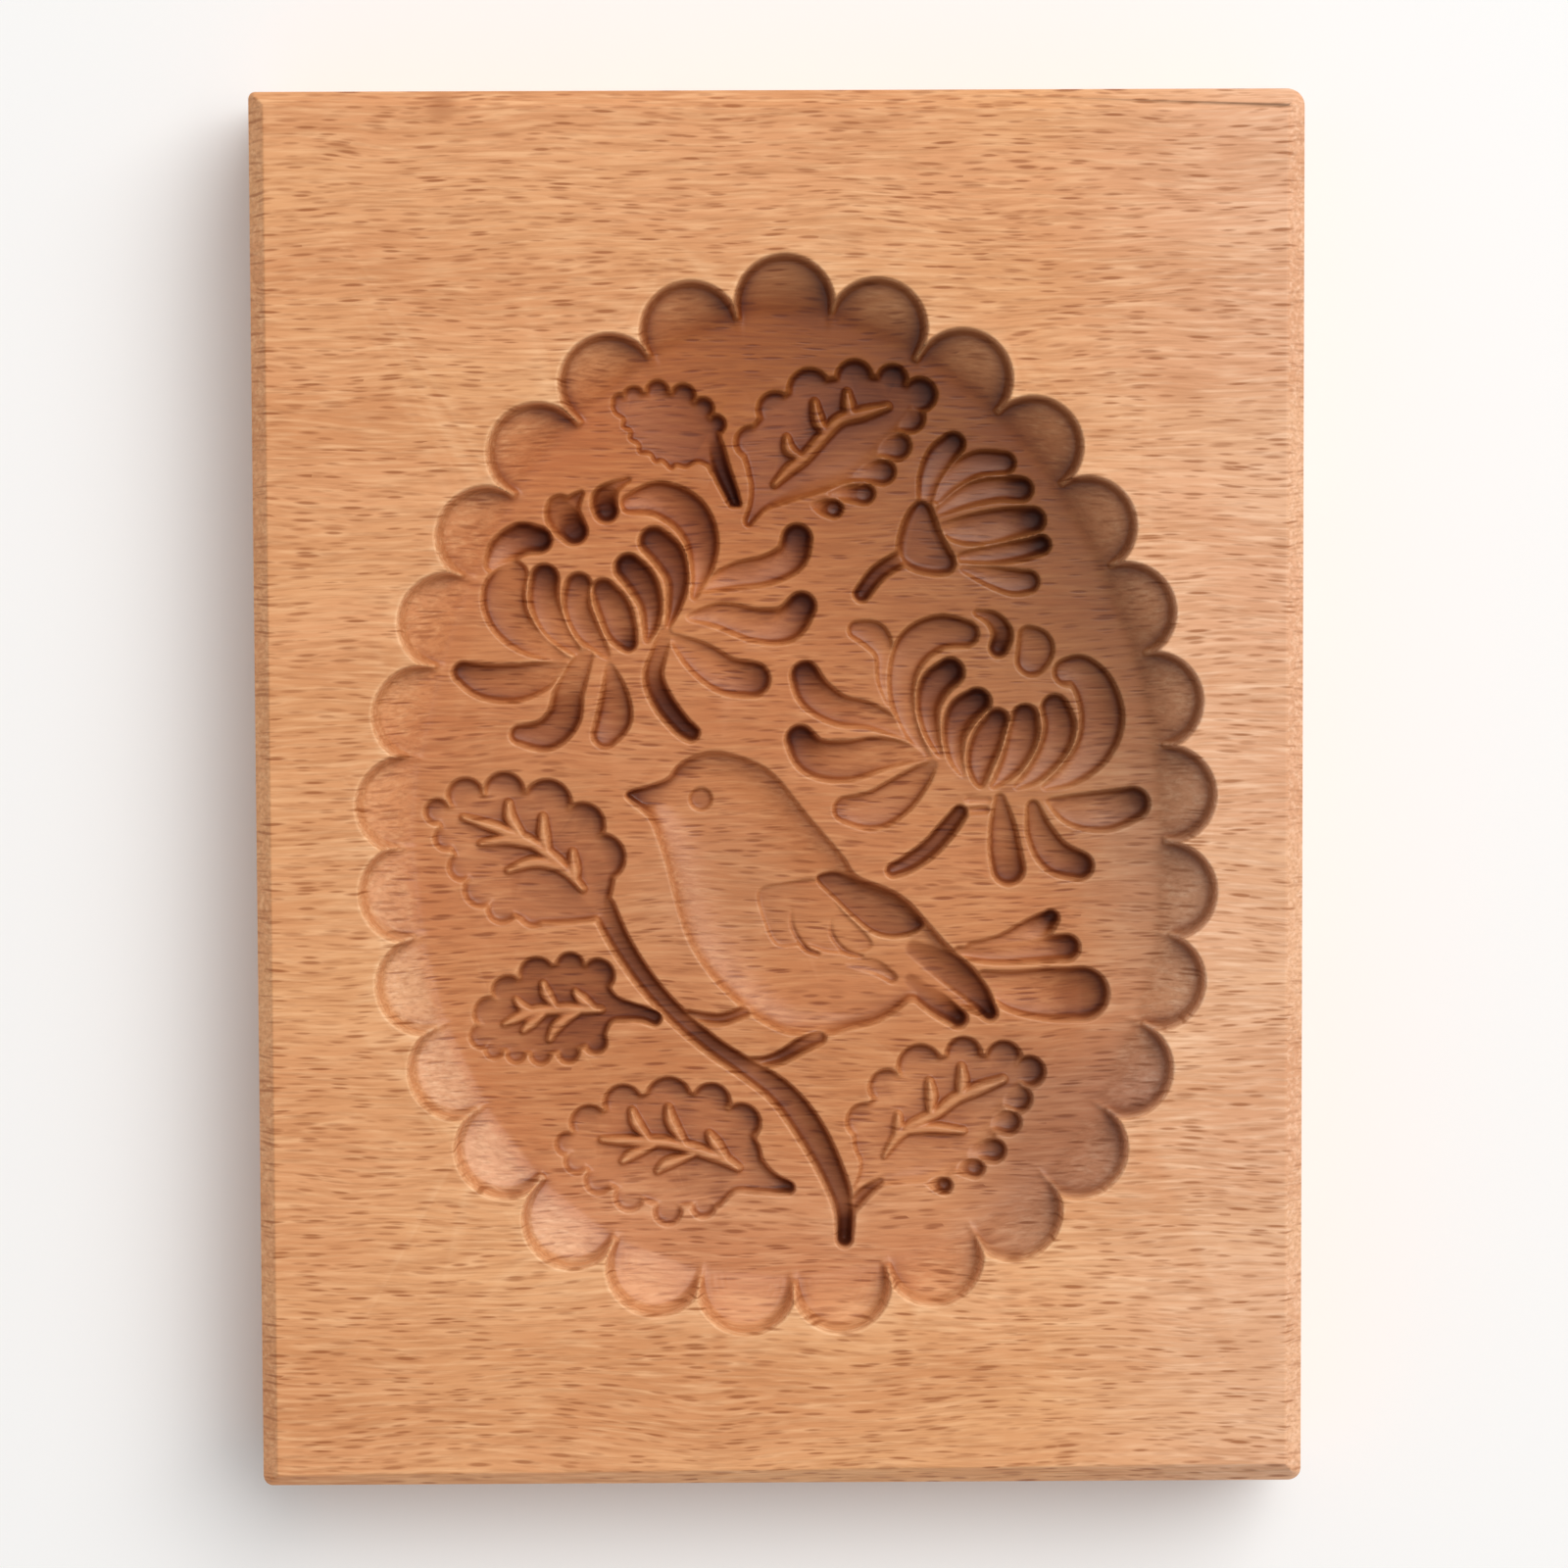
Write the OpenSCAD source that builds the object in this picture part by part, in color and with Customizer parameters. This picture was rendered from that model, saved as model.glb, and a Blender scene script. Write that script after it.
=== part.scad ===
// Gingerbread or cookie mould: one beech board with a scalloped oval hollow,
// and a bird, two flowers, a bud and leaves gouged into the hollow's floor.
// The board lies on its back, carved face up. X is the width, Y the length and Z the thickness.

/* [Board] */
// width of the board, mm
board_w = 120; // [112:1:150]
// length of the board, mm
board_l = 160; // [150:1:200]
// thickness of the board, mm
board_t = 20; // [16:0.5:30]
// width of the bevel round the carved face, mm
face_bevel = 2; // [0.5:0.1:4]
// width of the bevel round the back, mm
back_bevel = 0.8; // [0.3:0.1:2]
// radius of the board's four corners in plan, mm
corner_r = 1.4; // [0.5:0.1:4]

/* [Hollow] */
// flat rim left at each side of the hollow, mm
side_rim = 10.9; // [8:0.1:16]
// flat rim left at each end of the hollow, mm
end_rim = 18.2; // [12:0.1:24]
// depth of the hollow's floor under the face, mm
hollow_depth = 5.2; // [4.6:0.1:7]
// radius of each scallop, mm, before the pattern is sized to the board
scallop_r = 5.35; // [5.1:0.05:5.9]
// width of the slope from the points between the scallops to the floor, mm
slope_w = 6; // [4:0.5:8]

/* [Figures] */
// depth of the figures under the floor, as a percentage of the usual depth
figure_depth = 100; // [60:5:140]
// half width of the leaf veins at their foot, mm
vein_foot = 0.75; // [0.6:0.05:0.9]

/* [Finish] */
// colour of the bare beech
wood = "BurlyWood"; // ["BurlyWood", "Tan", "SandyBrown", "Peru"]

/* [Hidden] */
hollow_w = board_w - 2 * side_rim;
hollow_l = board_l - 2 * end_rim;
deep = figure_depth / 100;
floor_z = hollow_depth;
over = 1;
clear = 3;

// the figures were measured as they look from above the face, so they are put on the floor below it
figure_scale = 1.009;
figure_move = [0, -0.36];

// sections of a gouge cut, as [share of half width, share of depth]
wide_cut = [[-1, 0], [-0.86, 0.51], [-0.35, 0.95], [0.35, 0.95], [0.86, 0.51], [1, 0]];
round_cut = [[-1, 0], [-0.8, 0.6], [0, 1], [0.8, 0.6], [1, 0]];
small_cut = [[-1, 0], [-0.5, 0.87], [0.5, 0.87], [1, 0]];

// walls of a hollow, as [share of wall width, share of depth]
soft_wall = [[0, 0], [0.15, 0.53], [0.5, 0.87], [1, 1]];
plain_wall = [[0, 0], [0.4, 0.75], [1, 1]];
rim_wall = [[0, 0], [0.4, 0.58], [1, 1]];
slant_wall = [[0, 0], [1, 1]];

// centres of the scallops, clockwise from the top one
scallops = [
    [0.8, 56], [11.4, 53.3], [21.2, 47.4], [29.2, 39.7], [35.4, 30.5], [39.9, 20.7],
    [43, 10.5], [44.5, -0.3], [44.6, -11.4], [43.3, -21.8], [39.6, -31.9], [34.3, -41.2],
    [26.8, -48.4], [17.6, -53.7], [6.9, -56.8], [-4, -57], [-14.5, -54.8], [-24.2, -49.2],
    [-31.9, -41], [-37.3, -31.8], [-40.9, -22], [-42.7, -11.3], [-43, -1.2], [-41, 9.2],
    [-38, 19.8], [-33.6, 29.6], [-27.6, 39.2], [-19.4, 47], [-10, 53]
];

// every stroke is a list of [x, y, half width, depth], from its tip to its root
left_petals = [
    [[-16.8, 33.2, 1.15, 1], [-13.6, 33.7, 2, 1.8], [-10.4, 32.1, 2.25, 2.4],
     [-8.8, 29.2, 1.95, 2.4], [-8.8, 26, 1.4, 1.8], [-9.6, 22.6, 0.4, 0.5]],
    [[-14.2, 28.9, 1.7, 2.6], [-12.5, 27.2, 1.85, 2.8], [-11.5, 24.6, 1.35, 2.6],
     [-11.9, 21.5, 0.85, 1.8], [-12.6, 19.2, 0.3, 0.5]],
    [[-17.1, 25.9, 1.65, 3], [-15.6, 24.2, 1.75, 2.8], [-14.6, 21.8, 1.35, 2.2],
     [-14.6, 19.3, 0.9, 1.4], [-15, 17.6, 0.3, 0.5]],
    [[-20, 23.2, 1.5, 2.4], [-18.8, 21.2, 1.95, 2.2], [-18, 18.9, 1.8, 2],
     [-17.2, 17.3, 1.05, 2.2]],
    [[-22.8, 23.8, 1.6, 2.2], [-23.05, 21.5, 1.65, 2], [-22, 18.9, 1.55, 1.5],
     [-20.4, 16.9, 0.85, 0.8], [-19.6, 15.9, 0.4, 0.4]],
    [[-26.7, 24.7, 1.7, 2.6], [-26.8, 22.3, 1.8, 2], [-25.8, 19.5, 1.65, 1.5],
     [-24, 17.3, 0.95, 0.8], [-22.5, 15.9, 0.4, 0.4]],
    [[-30.3, 25, 1.85, 1.4], [-31.3, 23, 2.5, 1.8], [-30.8, 20.3, 2.35, 1.8],
     [-28.7, 17.9, 1.8, 1.2], [-25.4, 15.9, 0.8, 0.5], [-24, 15.4, 0.4, 0.3]],
    [[-27.3, 29.1, 1.55, 3], [-29.3, 29.2, 1.85, 2.4], [-31.2, 28, 1.75, 1.5],
     [-32.4, 26.4, 1.1, 0.8]],
    [[-23.3, 30.1, 1.6, 3], [-24.4, 31.6, 2, 1.8], [-24.8, 32.6, 1.7, 1.1]],
    [[-24, 32.3, 1.2, 1.5], [-23.3, 33.4, 0.9, 1.4], [-22.4, 34.4, 0.35, 0.8]],
    [[-19.6, 32.4, 1.4, 2.8], [-19.8, 33.7, 1.45, 1.8], [-18.8, 35, 0.8, 1], [-17, 35.9, 0.3, 0.6]],
    [[2.1, 29.1, 1.75, 2.8], [1.4, 27, 1.85, 2.1], [-1.3, 25.6, 1.75, 1.5], [-5, 24.9, 1.5, 1.1],
     [-9, 23.5, 0.6, 0.4]],
    [[2.6, 21.4, 1.7, 2.8], [0.8, 19.4, 2.1, 1.9], [-2.5, 19.3, 1.95, 1.4], [-6.5, 20.4, 1.5, 1],
     [-10, 20.3, 0.5, 0.3]],
    [[-3, 13.1, 2.05, 2.2], [-6, 13.6, 2.15, 1.5], [-9, 15.6, 1.85, 1.1], [-11.9, 17.8, 0.6, 0.4]],
    [[-36, 14, 1.3, 2], [-33.6, 13, 2, 2], [-30.2, 12.8, 2.2, 1.7], [-27, 13.6, 1.65, 1.1],
     [-24.6, 14.8, 0.5, 0.4]],
    [[-29.6, 6.9, 1.15, 1.4], [-26.6, 6.9, 1.85, 2.2], [-24.6, 8.8, 1.95, 2.4],
     [-24, 11.6, 1.75, 1.5], [-22.8, 14.4, 1.3, 0.8], [-21.9, 16, 0.8, 0.5]],
    [[-19.8, 6.9, 1.6, 1.6], [-18.8, 8.9, 2.05, 2], [-18.8, 11.8, 1.45, 1.3],
     [-19.3, 14.6, 0.5, 0.3]],
    [[-10.1, 7, 1.05, 2.2], [-11.2, 7.9, 1.15, 2.6], [-13.2, 10.5, 1.25, 2.6],
     [-14.3, 13.4, 1.15, 1.7], [-13.6, 16.3, 0.95, 0.8], [-12.9, 18.3, 0.8, 0.4]]
];

right_petals = [
    [[9, 18.7, 1.1, 0.9], [10.9, 18, 1.6, 1.1], [12, 16, 1.1, 0.9], [12, 13, 0.8, 0.6],
     [12.6, 10.4, 0.4, 0.3]],
    [[21.3, 18.2, 1.55, 1.8], [18.4, 18.4, 2, 2], [15.6, 16.9, 2.15, 1.9],
     [14.2, 14.1, 1.75, 1.6], [14.1, 10.6, 1.4, 1.3], [15.2, 7, 0.95, 0.9], [16.9, 4.4, 0.35, 0.4]],
    [[19.5, 13.8, 1.7, 3.2], [17.8, 12.3, 1.8, 2.8], [17, 9.8, 1.35, 2], [17.4, 7, 0.95, 1.2],
     [18.4, 4.5, 0.35, 0.4]],
    [[22.6, 10.4, 1.65, 3.2], [20.9, 9.1, 1.8, 2.8], [20, 6.7, 1.35, 1.8], [20.2, 4, 0.85, 0.8],
     [21, 2.2, 0.35, 0.3]],
    [[24.9, 8.2, 1.5, 2.8], [23.8, 6, 1.85, 2.4], [23, 3.7, 1.6, 1.8], [22.9, 1.9, 0.95, 1.2],
     [23, 1.1, 0.5, 0.8]],
    [[28.1, 8.6, 1.6, 2.4], [27.8, 6.3, 1.85, 2.2], [26.8, 3.8, 1.5, 1.6], [25.3, 1.7, 0.8, 0.8],
     [24.4, 0.8, 0.3, 0.4]],
    [[31.5, 9.7, 1.6, 2.2], [32.1, 7.4, 1.85, 2.2], [31.2, 4.7, 1.65, 1.8], [29.2, 2.2, 1.1, 1],
     [27.2, 0.8, 0.4, 0.3]],
    [[32.9, 13.8, 1.6, 1.4], [34.4, 13.8, 1.9, 1.8], [36.1, 11.8, 2.3, 2], [36.9, 8.3, 2.5, 2.2],
     [35.8, 4.8, 2.1, 1.8], [33.2, 2.2, 1.4, 1], [30.4, 0.7, 0.4, 0.3]],
    [[25.1, 16.6, 1.1, 2.4], [25.5, 18.2, 1.2, 1.8], [24.5, 19.8, 0.9, 1.2],
     [22.6, 20.6, 0.4, 0.5]],
    [[28.5, 17.9, 1.25, 0.9], [29.3, 16.6, 2.1, 1.4], [28.9, 15.2, 1.85, 1.5]],
    [[3, 13.5, 1.7, 2.6], [4.1, 11.4, 2, 2], [6.8, 9.6, 1.8, 1.5], [10.3, 8.9, 1.5, 1],
     [13.8, 7.2, 0.9, 0.5], [15.8, 5.7, 0.3, 0.2]],
    [[2.4, 6.2, 1.7, 2.8], [4, 4.2, 2.2, 2.2], [7.5, 3.7, 2.35, 1.7], [11.3, 4.5, 2, 1.2],
     [15.2, 4.6, 1, 0.5], [17.2, 4.1, 0.3, 0.2]],
    [[7.7, -1.8, 1.55, 1], [10.8, -1.9, 2.25, 1.4], [13.5, -0.4, 2.15, 1.6],
     [15.9, 1.7, 1.45, 1.2], [17.5, 3.2, 0.6, 0.3]],
    [[26.2, -8.7, 1.9, 2.2], [25.8, -6.6, 1.85, 1.8], [25.5, -3.6, 1.45, 1.4],
     [25.2, -0.6, 0.6, 0.6]],
    [[34.3, -8.4, 1.65, 2.4], [31.6, -7.3, 1.95, 2], [29.8, -4.6, 1.55, 1.6], [29, -1.6, 0.8, 0.8]],
    [[40.4, -1.3, 1.95, 2.4], [37.3, -2.1, 2.35, 1.6], [33.8, -2, 1.85, 1.1], [31, -1, 0.5, 0.4]],
    [[13, -8.8, 0.85, 1.6], [14.8, -8, 1.05, 2], [17.2, -6.3, 1.1, 2.2], [19.2, -4.1, 1.1, 2.2],
     [20.6, -2.3, 0.95, 1.8]],
    [[21.6, -2, 0.45, 0.5], [23.6, -1.9, 0.45, 0.5]],
    [[21.6, -0.7, 0.4, 0.3], [23.9, -0.8, 0.4, 0.3]]
];

bud_strokes = [
    [[19.9, 39.8, 1.4, 2.2], [18.5, 38.3, 1.65, 1.8], [17.3, 36, 1.35, 1.3],
     [16.8, 33.6, 0.9, 0.7]],
    [[25.7, 37.6, 1.35, 1.8], [22.6, 37.5, 1.5, 1.5], [19.9, 35.9, 1.3, 1.1],
     [18.2, 33.6, 0.6, 0.5]],
    [[27.6, 34.6, 1.45, 2.3], [25, 34.7, 1.45, 1.6], [22, 34.1, 1.35, 1.1],
     [19.2, 32.7, 0.8, 0.5], [18, 31.9, 0.4, 0.3]],
    [[28.9, 31.1, 1.55, 2.8], [26.8, 30.8, 1.85, 2], [23.5, 30.2, 2, 1.4], [20.4, 30, 1.4, 0.7],
     [18.9, 30.4, 0.6, 0.3]],
    [[29.9, 28.3, 1.15, 2.6], [27.4, 27.7, 1.25, 1.9], [24, 27.2, 1.15, 1.3],
     [20.9, 26.9, 0.6, 0.5]],
    [[28.4, 24.1, 1.35, 1.6], [26.7, 24.1, 1.5, 1.3], [24, 24.8, 1.15, 0.9],
     [21.2, 25.6, 0.45, 0.3]],
    [[9.5, 22.8, 0.95, 2.2], [11.3, 25.1, 1, 2], [13.9, 26.8, 0.95, 1.4]]
];
bud_cup = [
    [15.9, 33.3, 0.5], [16.9, 33.2, 0.6], [17.6, 32.4, 0.9], [18.3, 30.5, 1], [19.2, 28.5, 1],
    [20.2, 26.6, 0.8], [19.8, 25.3, 0.8],
    [18.6, 24.9, 0.9], [16.8, 25, 1], [15, 25.6, 1], [13.8, 26.6, 1], [13.5, 28.2, 1.1], [13.9, 30.2, 1.1],
    [14.7, 32.1, 1]
];

// the comb-edged leaf at the top left, and its stalk
comb_leaf = [
    [-18.9, 44.2, 0.4], [-17.2, 45.4, 0.5], [-13.8, 45.8, 0.5], [-10.6, 45.2, 0.5], [-8.2, 43.9, 0.6],
    [-7, 42, 0.6], [-6.7, 39.9, 0.6], [-6.5, 37.4, 0.5],
    [-8.3, 37.3, 0.5], [-11.5, 37.2, 0.7], [-14, 38, 0.8], [-16, 39.9, 0.8], [-17.6, 42.3, 0.6]
];
comb_strokes = [
    [[-18, 44.8, 0.9, 1], [-16.6, 43.6, 0.8, 0.8]],
    [[-16.3, 45.3, 1.1, 1.2], [-15.4, 43, 0.9, 0.9]],
    [[-13.8, 45.7, 1.3, 1.5], [-13.2, 43.2, 1, 1]],
    [[-11, 45.3, 1.3, 1.8], [-11, 42.8, 1, 1.2]],
    [[-8.8, 43.9, 1.2, 2.1], [-9.4, 41.8, 1, 1.4]],
    [[-7.2, 42, 1.1, 2.3], [-8.2, 40.2, 1, 1.6]],
    [[-4.8, 32.8, 0.6, 2.2], [-5.4, 34.4, 0.8, 2.6], [-6.4, 36.8, 1, 2.5], [-7.2, 39.4, 1.1, 2]]
];

top_leaf = [
    [-3.9, 30.5, 0.3], [-3.2, 33, 0.3], [-3.1, 36, 0.4], [-3.2, 40.2, 0.5], [-1.2, 44.2, 0.5],
    [2.8, 46.9, 0.5], [8.4, 48, 0.5], [13, 47.4, 0.5],
    [16, 45.5, 0.5], [14.8, 42, 0.5], [13.6, 39, 0.5], [11.8, 36.2, 0.5], [9.4, 34, 0.5], [5, 33.1, 0.5],
    [0.8, 32.9, 0.5], [-2, 31.7, 0.3]
];
top_lobes = [
    [[-2.7, 39.9, 1.8, 1.3], [-1.3, 38.2, 1.8, 1.7], [-1.6, 35.8, 1.1, 1.6]],
    [[-0.6, 43.8, 1.6, 1.3], [1.4, 43, 1.9, 1.5], [2.5, 41.2, 1.4, 2], [2.5, 39.8, 0.7, 1.6]],
    [[3.1, 46.6, 1.8, 1.3], [5.1, 45.6, 1.9, 1.6], [6.2, 44.2, 1.3, 2.1], [6.1, 42.9, 0.7, 1.8]],
    [[8.7, 47.8, 1.5, 1.5], [9, 46, 1.5, 1.5], [9.6, 44.8, 0.8, 1.9]],
    [[13.3, 47.3, 1.2, 1.7], [11.8, 45.9, 1.4, 1.6]],
    [[16.4, 45.4, 1.4, 2.3], [13.6, 45.5, 1.3, 1.5]],
    [[15, 42.5, 1.4, 2.3], [10, 42.3, 0.7, 1]],
    [[13.8, 39.5, 1.4, 2.2], [11, 39.7, 1.3, 1.3], [7.5, 39.7, 0.8, 1.3]],
    [[11.9, 36.5, 1.4, 2.2], [8.5, 37, 1.1, 1.2], [4.5, 36.9, 1.2, 1.3], [1, 35.8, 0.7, 1.2]],
    [[9.6, 34.2, 1.2, 2.2], [6, 34.6, 1.2, 1], [1.5, 34.3, 1.2, 1]],
    [[6.5, 32.4, 0.9, 1.9], [4.8, 33, 0.8, 0.9]]
];
top_veins = [
    [[-0.8, 34.9], [3, 38.5], [6, 42.3], [12.4, 44.1]],
    [[0.9, 40.9], [1.3, 39.2], [2.8, 38.3]],
    [[4.3, 44.7], [4.7, 42.8], [5.6, 41.8]],
    [[7.9, 45.9], [8, 44.3], [8.6, 43.2]],
    [[2.6, 38.2], [9.5, 38.3]],
    [[5, 41], [12, 41]]
];

left_leaf = [
    [-39.2, -2, 0.5], [-36, 0.3, 0.5], [-31.4, 1, 0.5], [-26.4, 0, 0.5], [-22.4, -3, 0.5],
    [-19.8, -6.8, 0.5], [-19.4, -11, 0.4],
    [-19.6, -13.6, 0.4], [-21.5, -14.4, 0.5], [-25, -14.2, 0.5], [-28.4, -14.8, 0.5], [-32.4, -13.2, 0.5],
    [-35, -10.6, 0.5], [-37.4, -7.2, 0.5]
];
left_lobes = [
    [[-39, -1.7, 1.3, 0.9], [-37.4, -1.9, 1, 1.6]],
    [[-36, 0.1, 1.5, 1.5], [-33.2, -2.3, 0.8, 1.6]],
    [[-31.3, 0.8, 1.5, 1.9], [-32.5, -2.2, 0.8, 2]],
    [[-29.5, -0.8, 1.2, 1.2], [-28.6, -4.2, 0.7, 2.1]],
    [[-26, -0.7, 1.8, 1.8], [-25.5, -3.5, 1.7, 1.4], [-25.2, -6, 0.9, 2]],
    [[-22, -3.1, 1.7, 2], [-22.7, -8, 0.8, 1.2]],
    [[-19.7, -6.9, 1.7, 2.3], [-20.7, -9.2, 1.8, 1.6], [-20.8, -12, 1.4, 1.5]],
    [[-38.2, -4.4, 1, 0.9], [-36, -4.6, 1, 1.7]],
    [[-36.7, -7.3, 1.1, 0.8], [-30.2, -6.6, 0.8, 2]],
    [[-34.6, -10.5, 1.2, 0.9], [-33, -8.6, 1.1, 1.5]],
    [[-32.3, -12.9, 1.3, 0.9], [-30.5, -11, 1.5, 1.5], [-27, -10.2, 1.3, 2], [-24.2, -11, 0.7, 1.8]],
    [[-28, -13.7, 1.3, 1], [-25, -12.6, 1.4, 1.1], [-22.2, -12.8, 1.4, 1.2]]
];
left_veins = [
    [[-36.4, -2.3], [-27, -6.3], [-22.3, -10.9]],
    [[-31, -0.8], [-30.8, -2.8], [-29.8, -4.6]],
    [[-27.2, -2.3], [-26.3, -6.6]],
    [[-23.8, -6.4], [-23.3, -9.8]],
    [[-34.5, -5.5], [-29.5, -5.5], [-27.6, -6.4]],
    [[-31.5, -8.7], [-27.4, -7.9], [-25, -8.6]]
];

small_leaf = [
    [-34.6, -27.6, 0.5], [-33.6, -24.8, 0.5], [-31.4, -22, 0.5], [-28, -20.2, 0.5], [-24, -19.6, 0.5],
    [-20.6, -20.6, 0.5], [-18.8, -23.6, 0.4],
    [-16.4, -24.2, 0.3], [-16.4, -25.7, 0.3], [-19, -26.2, 0.4], [-21.6, -28.8, 0.5], [-24.6, -29.8, 0.5],
    [-27.2, -30.2, 0.5], [-31, -29.4, 0.5]
];
small_lobes = [
    [[-31.3, -22.3, 1.2, 1.5], [-31, -24, 0.8, 2]],
    [[-27.8, -20.4, 1.5, 1.6], [-28.5, -22.3, 1, 1.5], [-27.9, -23.8, 0.7, 2.1]],
    [[-24, -19.7, 1.3, 1.5], [-24.8, -21.8, 1.1, 1.3], [-24.2, -23.4, 0.8, 2.1]],
    [[-20.8, -20.6, 1.3, 1.6], [-20.7, -22.6, 1.5, 1.3]],
    [[-33.4, -24.9, 1.1, 1.1], [-32.3, -26.3, 0.7, 2]],
    [[-34.3, -27.7, 1.1, 0.7], [-30.4, -26.9, 0.6, 1.9]],
    [[-30.7, -29.1, 1, 0.8], [-29.4, -28.3, 1, 1]],
    [[-27.2, -29.9, 1.1, 0.9], [-26.8, -26.6, 0.6, 2]],
    [[-24.7, -29.6, 1.2, 1.5], [-24.6, -27.8, 1.2, 1.1], [-23, -26.4, 0.9, 1.4]],
    [[-21.6, -28.6, 1.2, 1.9], [-21.5, -26.8, 1.3, 1.4]],
    [[-19.5, -24.9, 1.2, 1.2], [-14, -25.3, 0.8, 1.8]]
];
small_veins = [
    [[-32, -25.9], [-29.8, -25.3], [-20.4, -24.7]],
    [[-30.2, -23.4], [-28.4, -25.3]],
    [[-27.4, -21.6], [-25.6, -24.8]],
    [[-23.2, -22.4], [-21.4, -24.7]],
    [[-29, -27.3], [-27, -25.4]],
    [[-26.1, -27.6], [-25.4, -26.4], [-23.8, -25.2]]
];

low_leaf = [
    [-25.4, -40.5, 0.5], [-22.6, -37.4, 0.5], [-18, -34.9, 0.5], [-12.9, -34.2, 0.5], [-8.1, -35.2, 0.5],
    [-4.2, -37.8, 0.5], [-2.8, -41, 0.4],
    [-2.2, -43, 0.4], [-1.4, -45.9, 0.4], [-5.2, -45.8, 0.5], [-9.2, -47.4, 0.5], [-13.4, -47.6, 0.5],
    [-18, -45.8, 0.5], [-22.4, -44, 0.5]
];
low_lobes = [
    [[-22.4, -37.6, 1.4, 1], [-20.3, -38, 1.2, 1.5]],
    [[-18, -35, 1.5, 1.7], [-17.8, -38.3, 0.6, 2]],
    [[-12.9, -34.3, 1.6, 1.7], [-14.2, -36, 1.1, 1.3], [-14, -38.1, 0.9, 2]],
    [[-8.1, -35.2, 1.6, 1.9], [-10, -37, 1.4, 1.3], [-9.6, -39.2, 0.8, 1.8]],
    [[-4.2, -37.9, 1.6, 2], [-5.6, -39.6, 1.3, 1.4]],
    [[0.3, -45.5, 0.85, 2.6], [-3.3, -42.9, 1.1, 1.9], [-3.9, -40.8, 1.1, 1.7]],
    [[-24.2, -41, 1.3, 0.7], [-21.5, -41.3, 1.1, 0.9], [-19.2, -41, 0.8, 1.9]],
    [[-20.6, -44.4, 1.4, 0.7], [-17.6, -43.6, 1, 0.9], [-13.6, -41.1, 0.5, 1.9]],
    [[-13.2, -47.4, 1.3, 1], [-12.8, -45, 1.4, 1]],
    [[-9.2, -47, 1.4, 1.4], [-8.6, -45, 1.7, 1.3], [-9, -43.2, 1, 1.6]],
    [[-12.4, -43.4, 0.6, 1.4], [-9.5, -42.9, 0.8, 1.6], [-5.6, -43.9, 0.7, 1.6]]
];
low_veins = [
    [[-20.9, -39.7], [-13.3, -39.9], [-6.8, -41.7], [-4.6, -43]],
    [[-16.8, -36.4], [-16.4, -38.3], [-15.2, -39.7]],
    [[-12.9, -36], [-12.5, -38], [-10.8, -40.2]],
    [[-8.2, -39], [-6, -42]],
    [[-18.3, -42.3], [-16.6, -41], [-14, -40.2]],
    [[-14.5, -43.6], [-13.3, -42.6], [-8.5, -41.3]]
];

right_leaf = [
    [9.2, -37.2, 0.5], [12.2, -33.2, 0.5], [16.4, -30.7, 0.5], [21.2, -29.9, 0.5], [25.4, -30.4, 0.5],
    [28.8, -32, 0.5], [27.6, -35, 0.5],
    [26.2, -38, 0.5], [24.6, -41, 0.5], [22.4, -43.2, 0.5], [18.8, -44.6, 0.5], [12.6, -44.9, 0.5],
    [10, -45.1, 0.4], [9, -43.6, 0.4], [9.3, -40.8, 0.4]
];
right_lobes = [
    [[9.3, -37.3, 1.6, 1], [10.9, -38.3, 1.7, 1.3], [12, -41.1, 0.6, 1.9]],
    [[12.1, -33.3, 1.4, 1], [13.8, -34.6, 1.6, 1.3], [15.2, -35.9, 1.1, 2], [15.3, -37.2, 0.7, 1.9]],
    [[16.3, -30.7, 1.6, 1.1], [19.2, -33, 1, 2.1], [19, -34.2, 0.6, 1.8]],
    [[21.2, -29.8, 1.5, 1.7], [22.4, -32.8, 0.9, 1.2]],
    [[25.3, -30.3, 1.5, 1.7], [24.4, -31.8, 1.3, 1.2]],
    [[28.7, -32, 1.4, 2.3], [26.3, -32, 1.2, 1.4]],
    [[27.7, -35, 1.3, 2.2], [25.3, -34.9, 1, 1.3], [22.3, -35.3, 0.7, 1.2]],
    [[26.4, -38, 1.2, 2.1], [23.2, -37.9, 0.9, 1.2], [19.6, -37.4, 0.8, 1.3]],
    [[24.7, -41.1, 1.2, 2.1], [21.3, -41, 1.2, 1], [17, -40.7, 1, 1.2]],
    [[22.6, -43.3, 0.95, 1.9], [20.2, -42.8, 0.95, 1.1]],
    [[19, -44.9, 0.8, 1.7], [17.4, -44.2, 0.8, 0.7]]
];
right_veins = [
    [[11, -42.6], [18.8, -36], [25.6, -33]],
    [[13.7, -36.5], [13, -40.2]],
    [[17.3, -32.9], [16.3, -37.6]],
    [[20.8, -31.3], [20.7, -33.3], [20, -35]],
    [[14, -40.2], [16.4, -39.3], [20.6, -39.3]],
    [[17, -37], [20.2, -36.5], [24, -36.8]]
];

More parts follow.
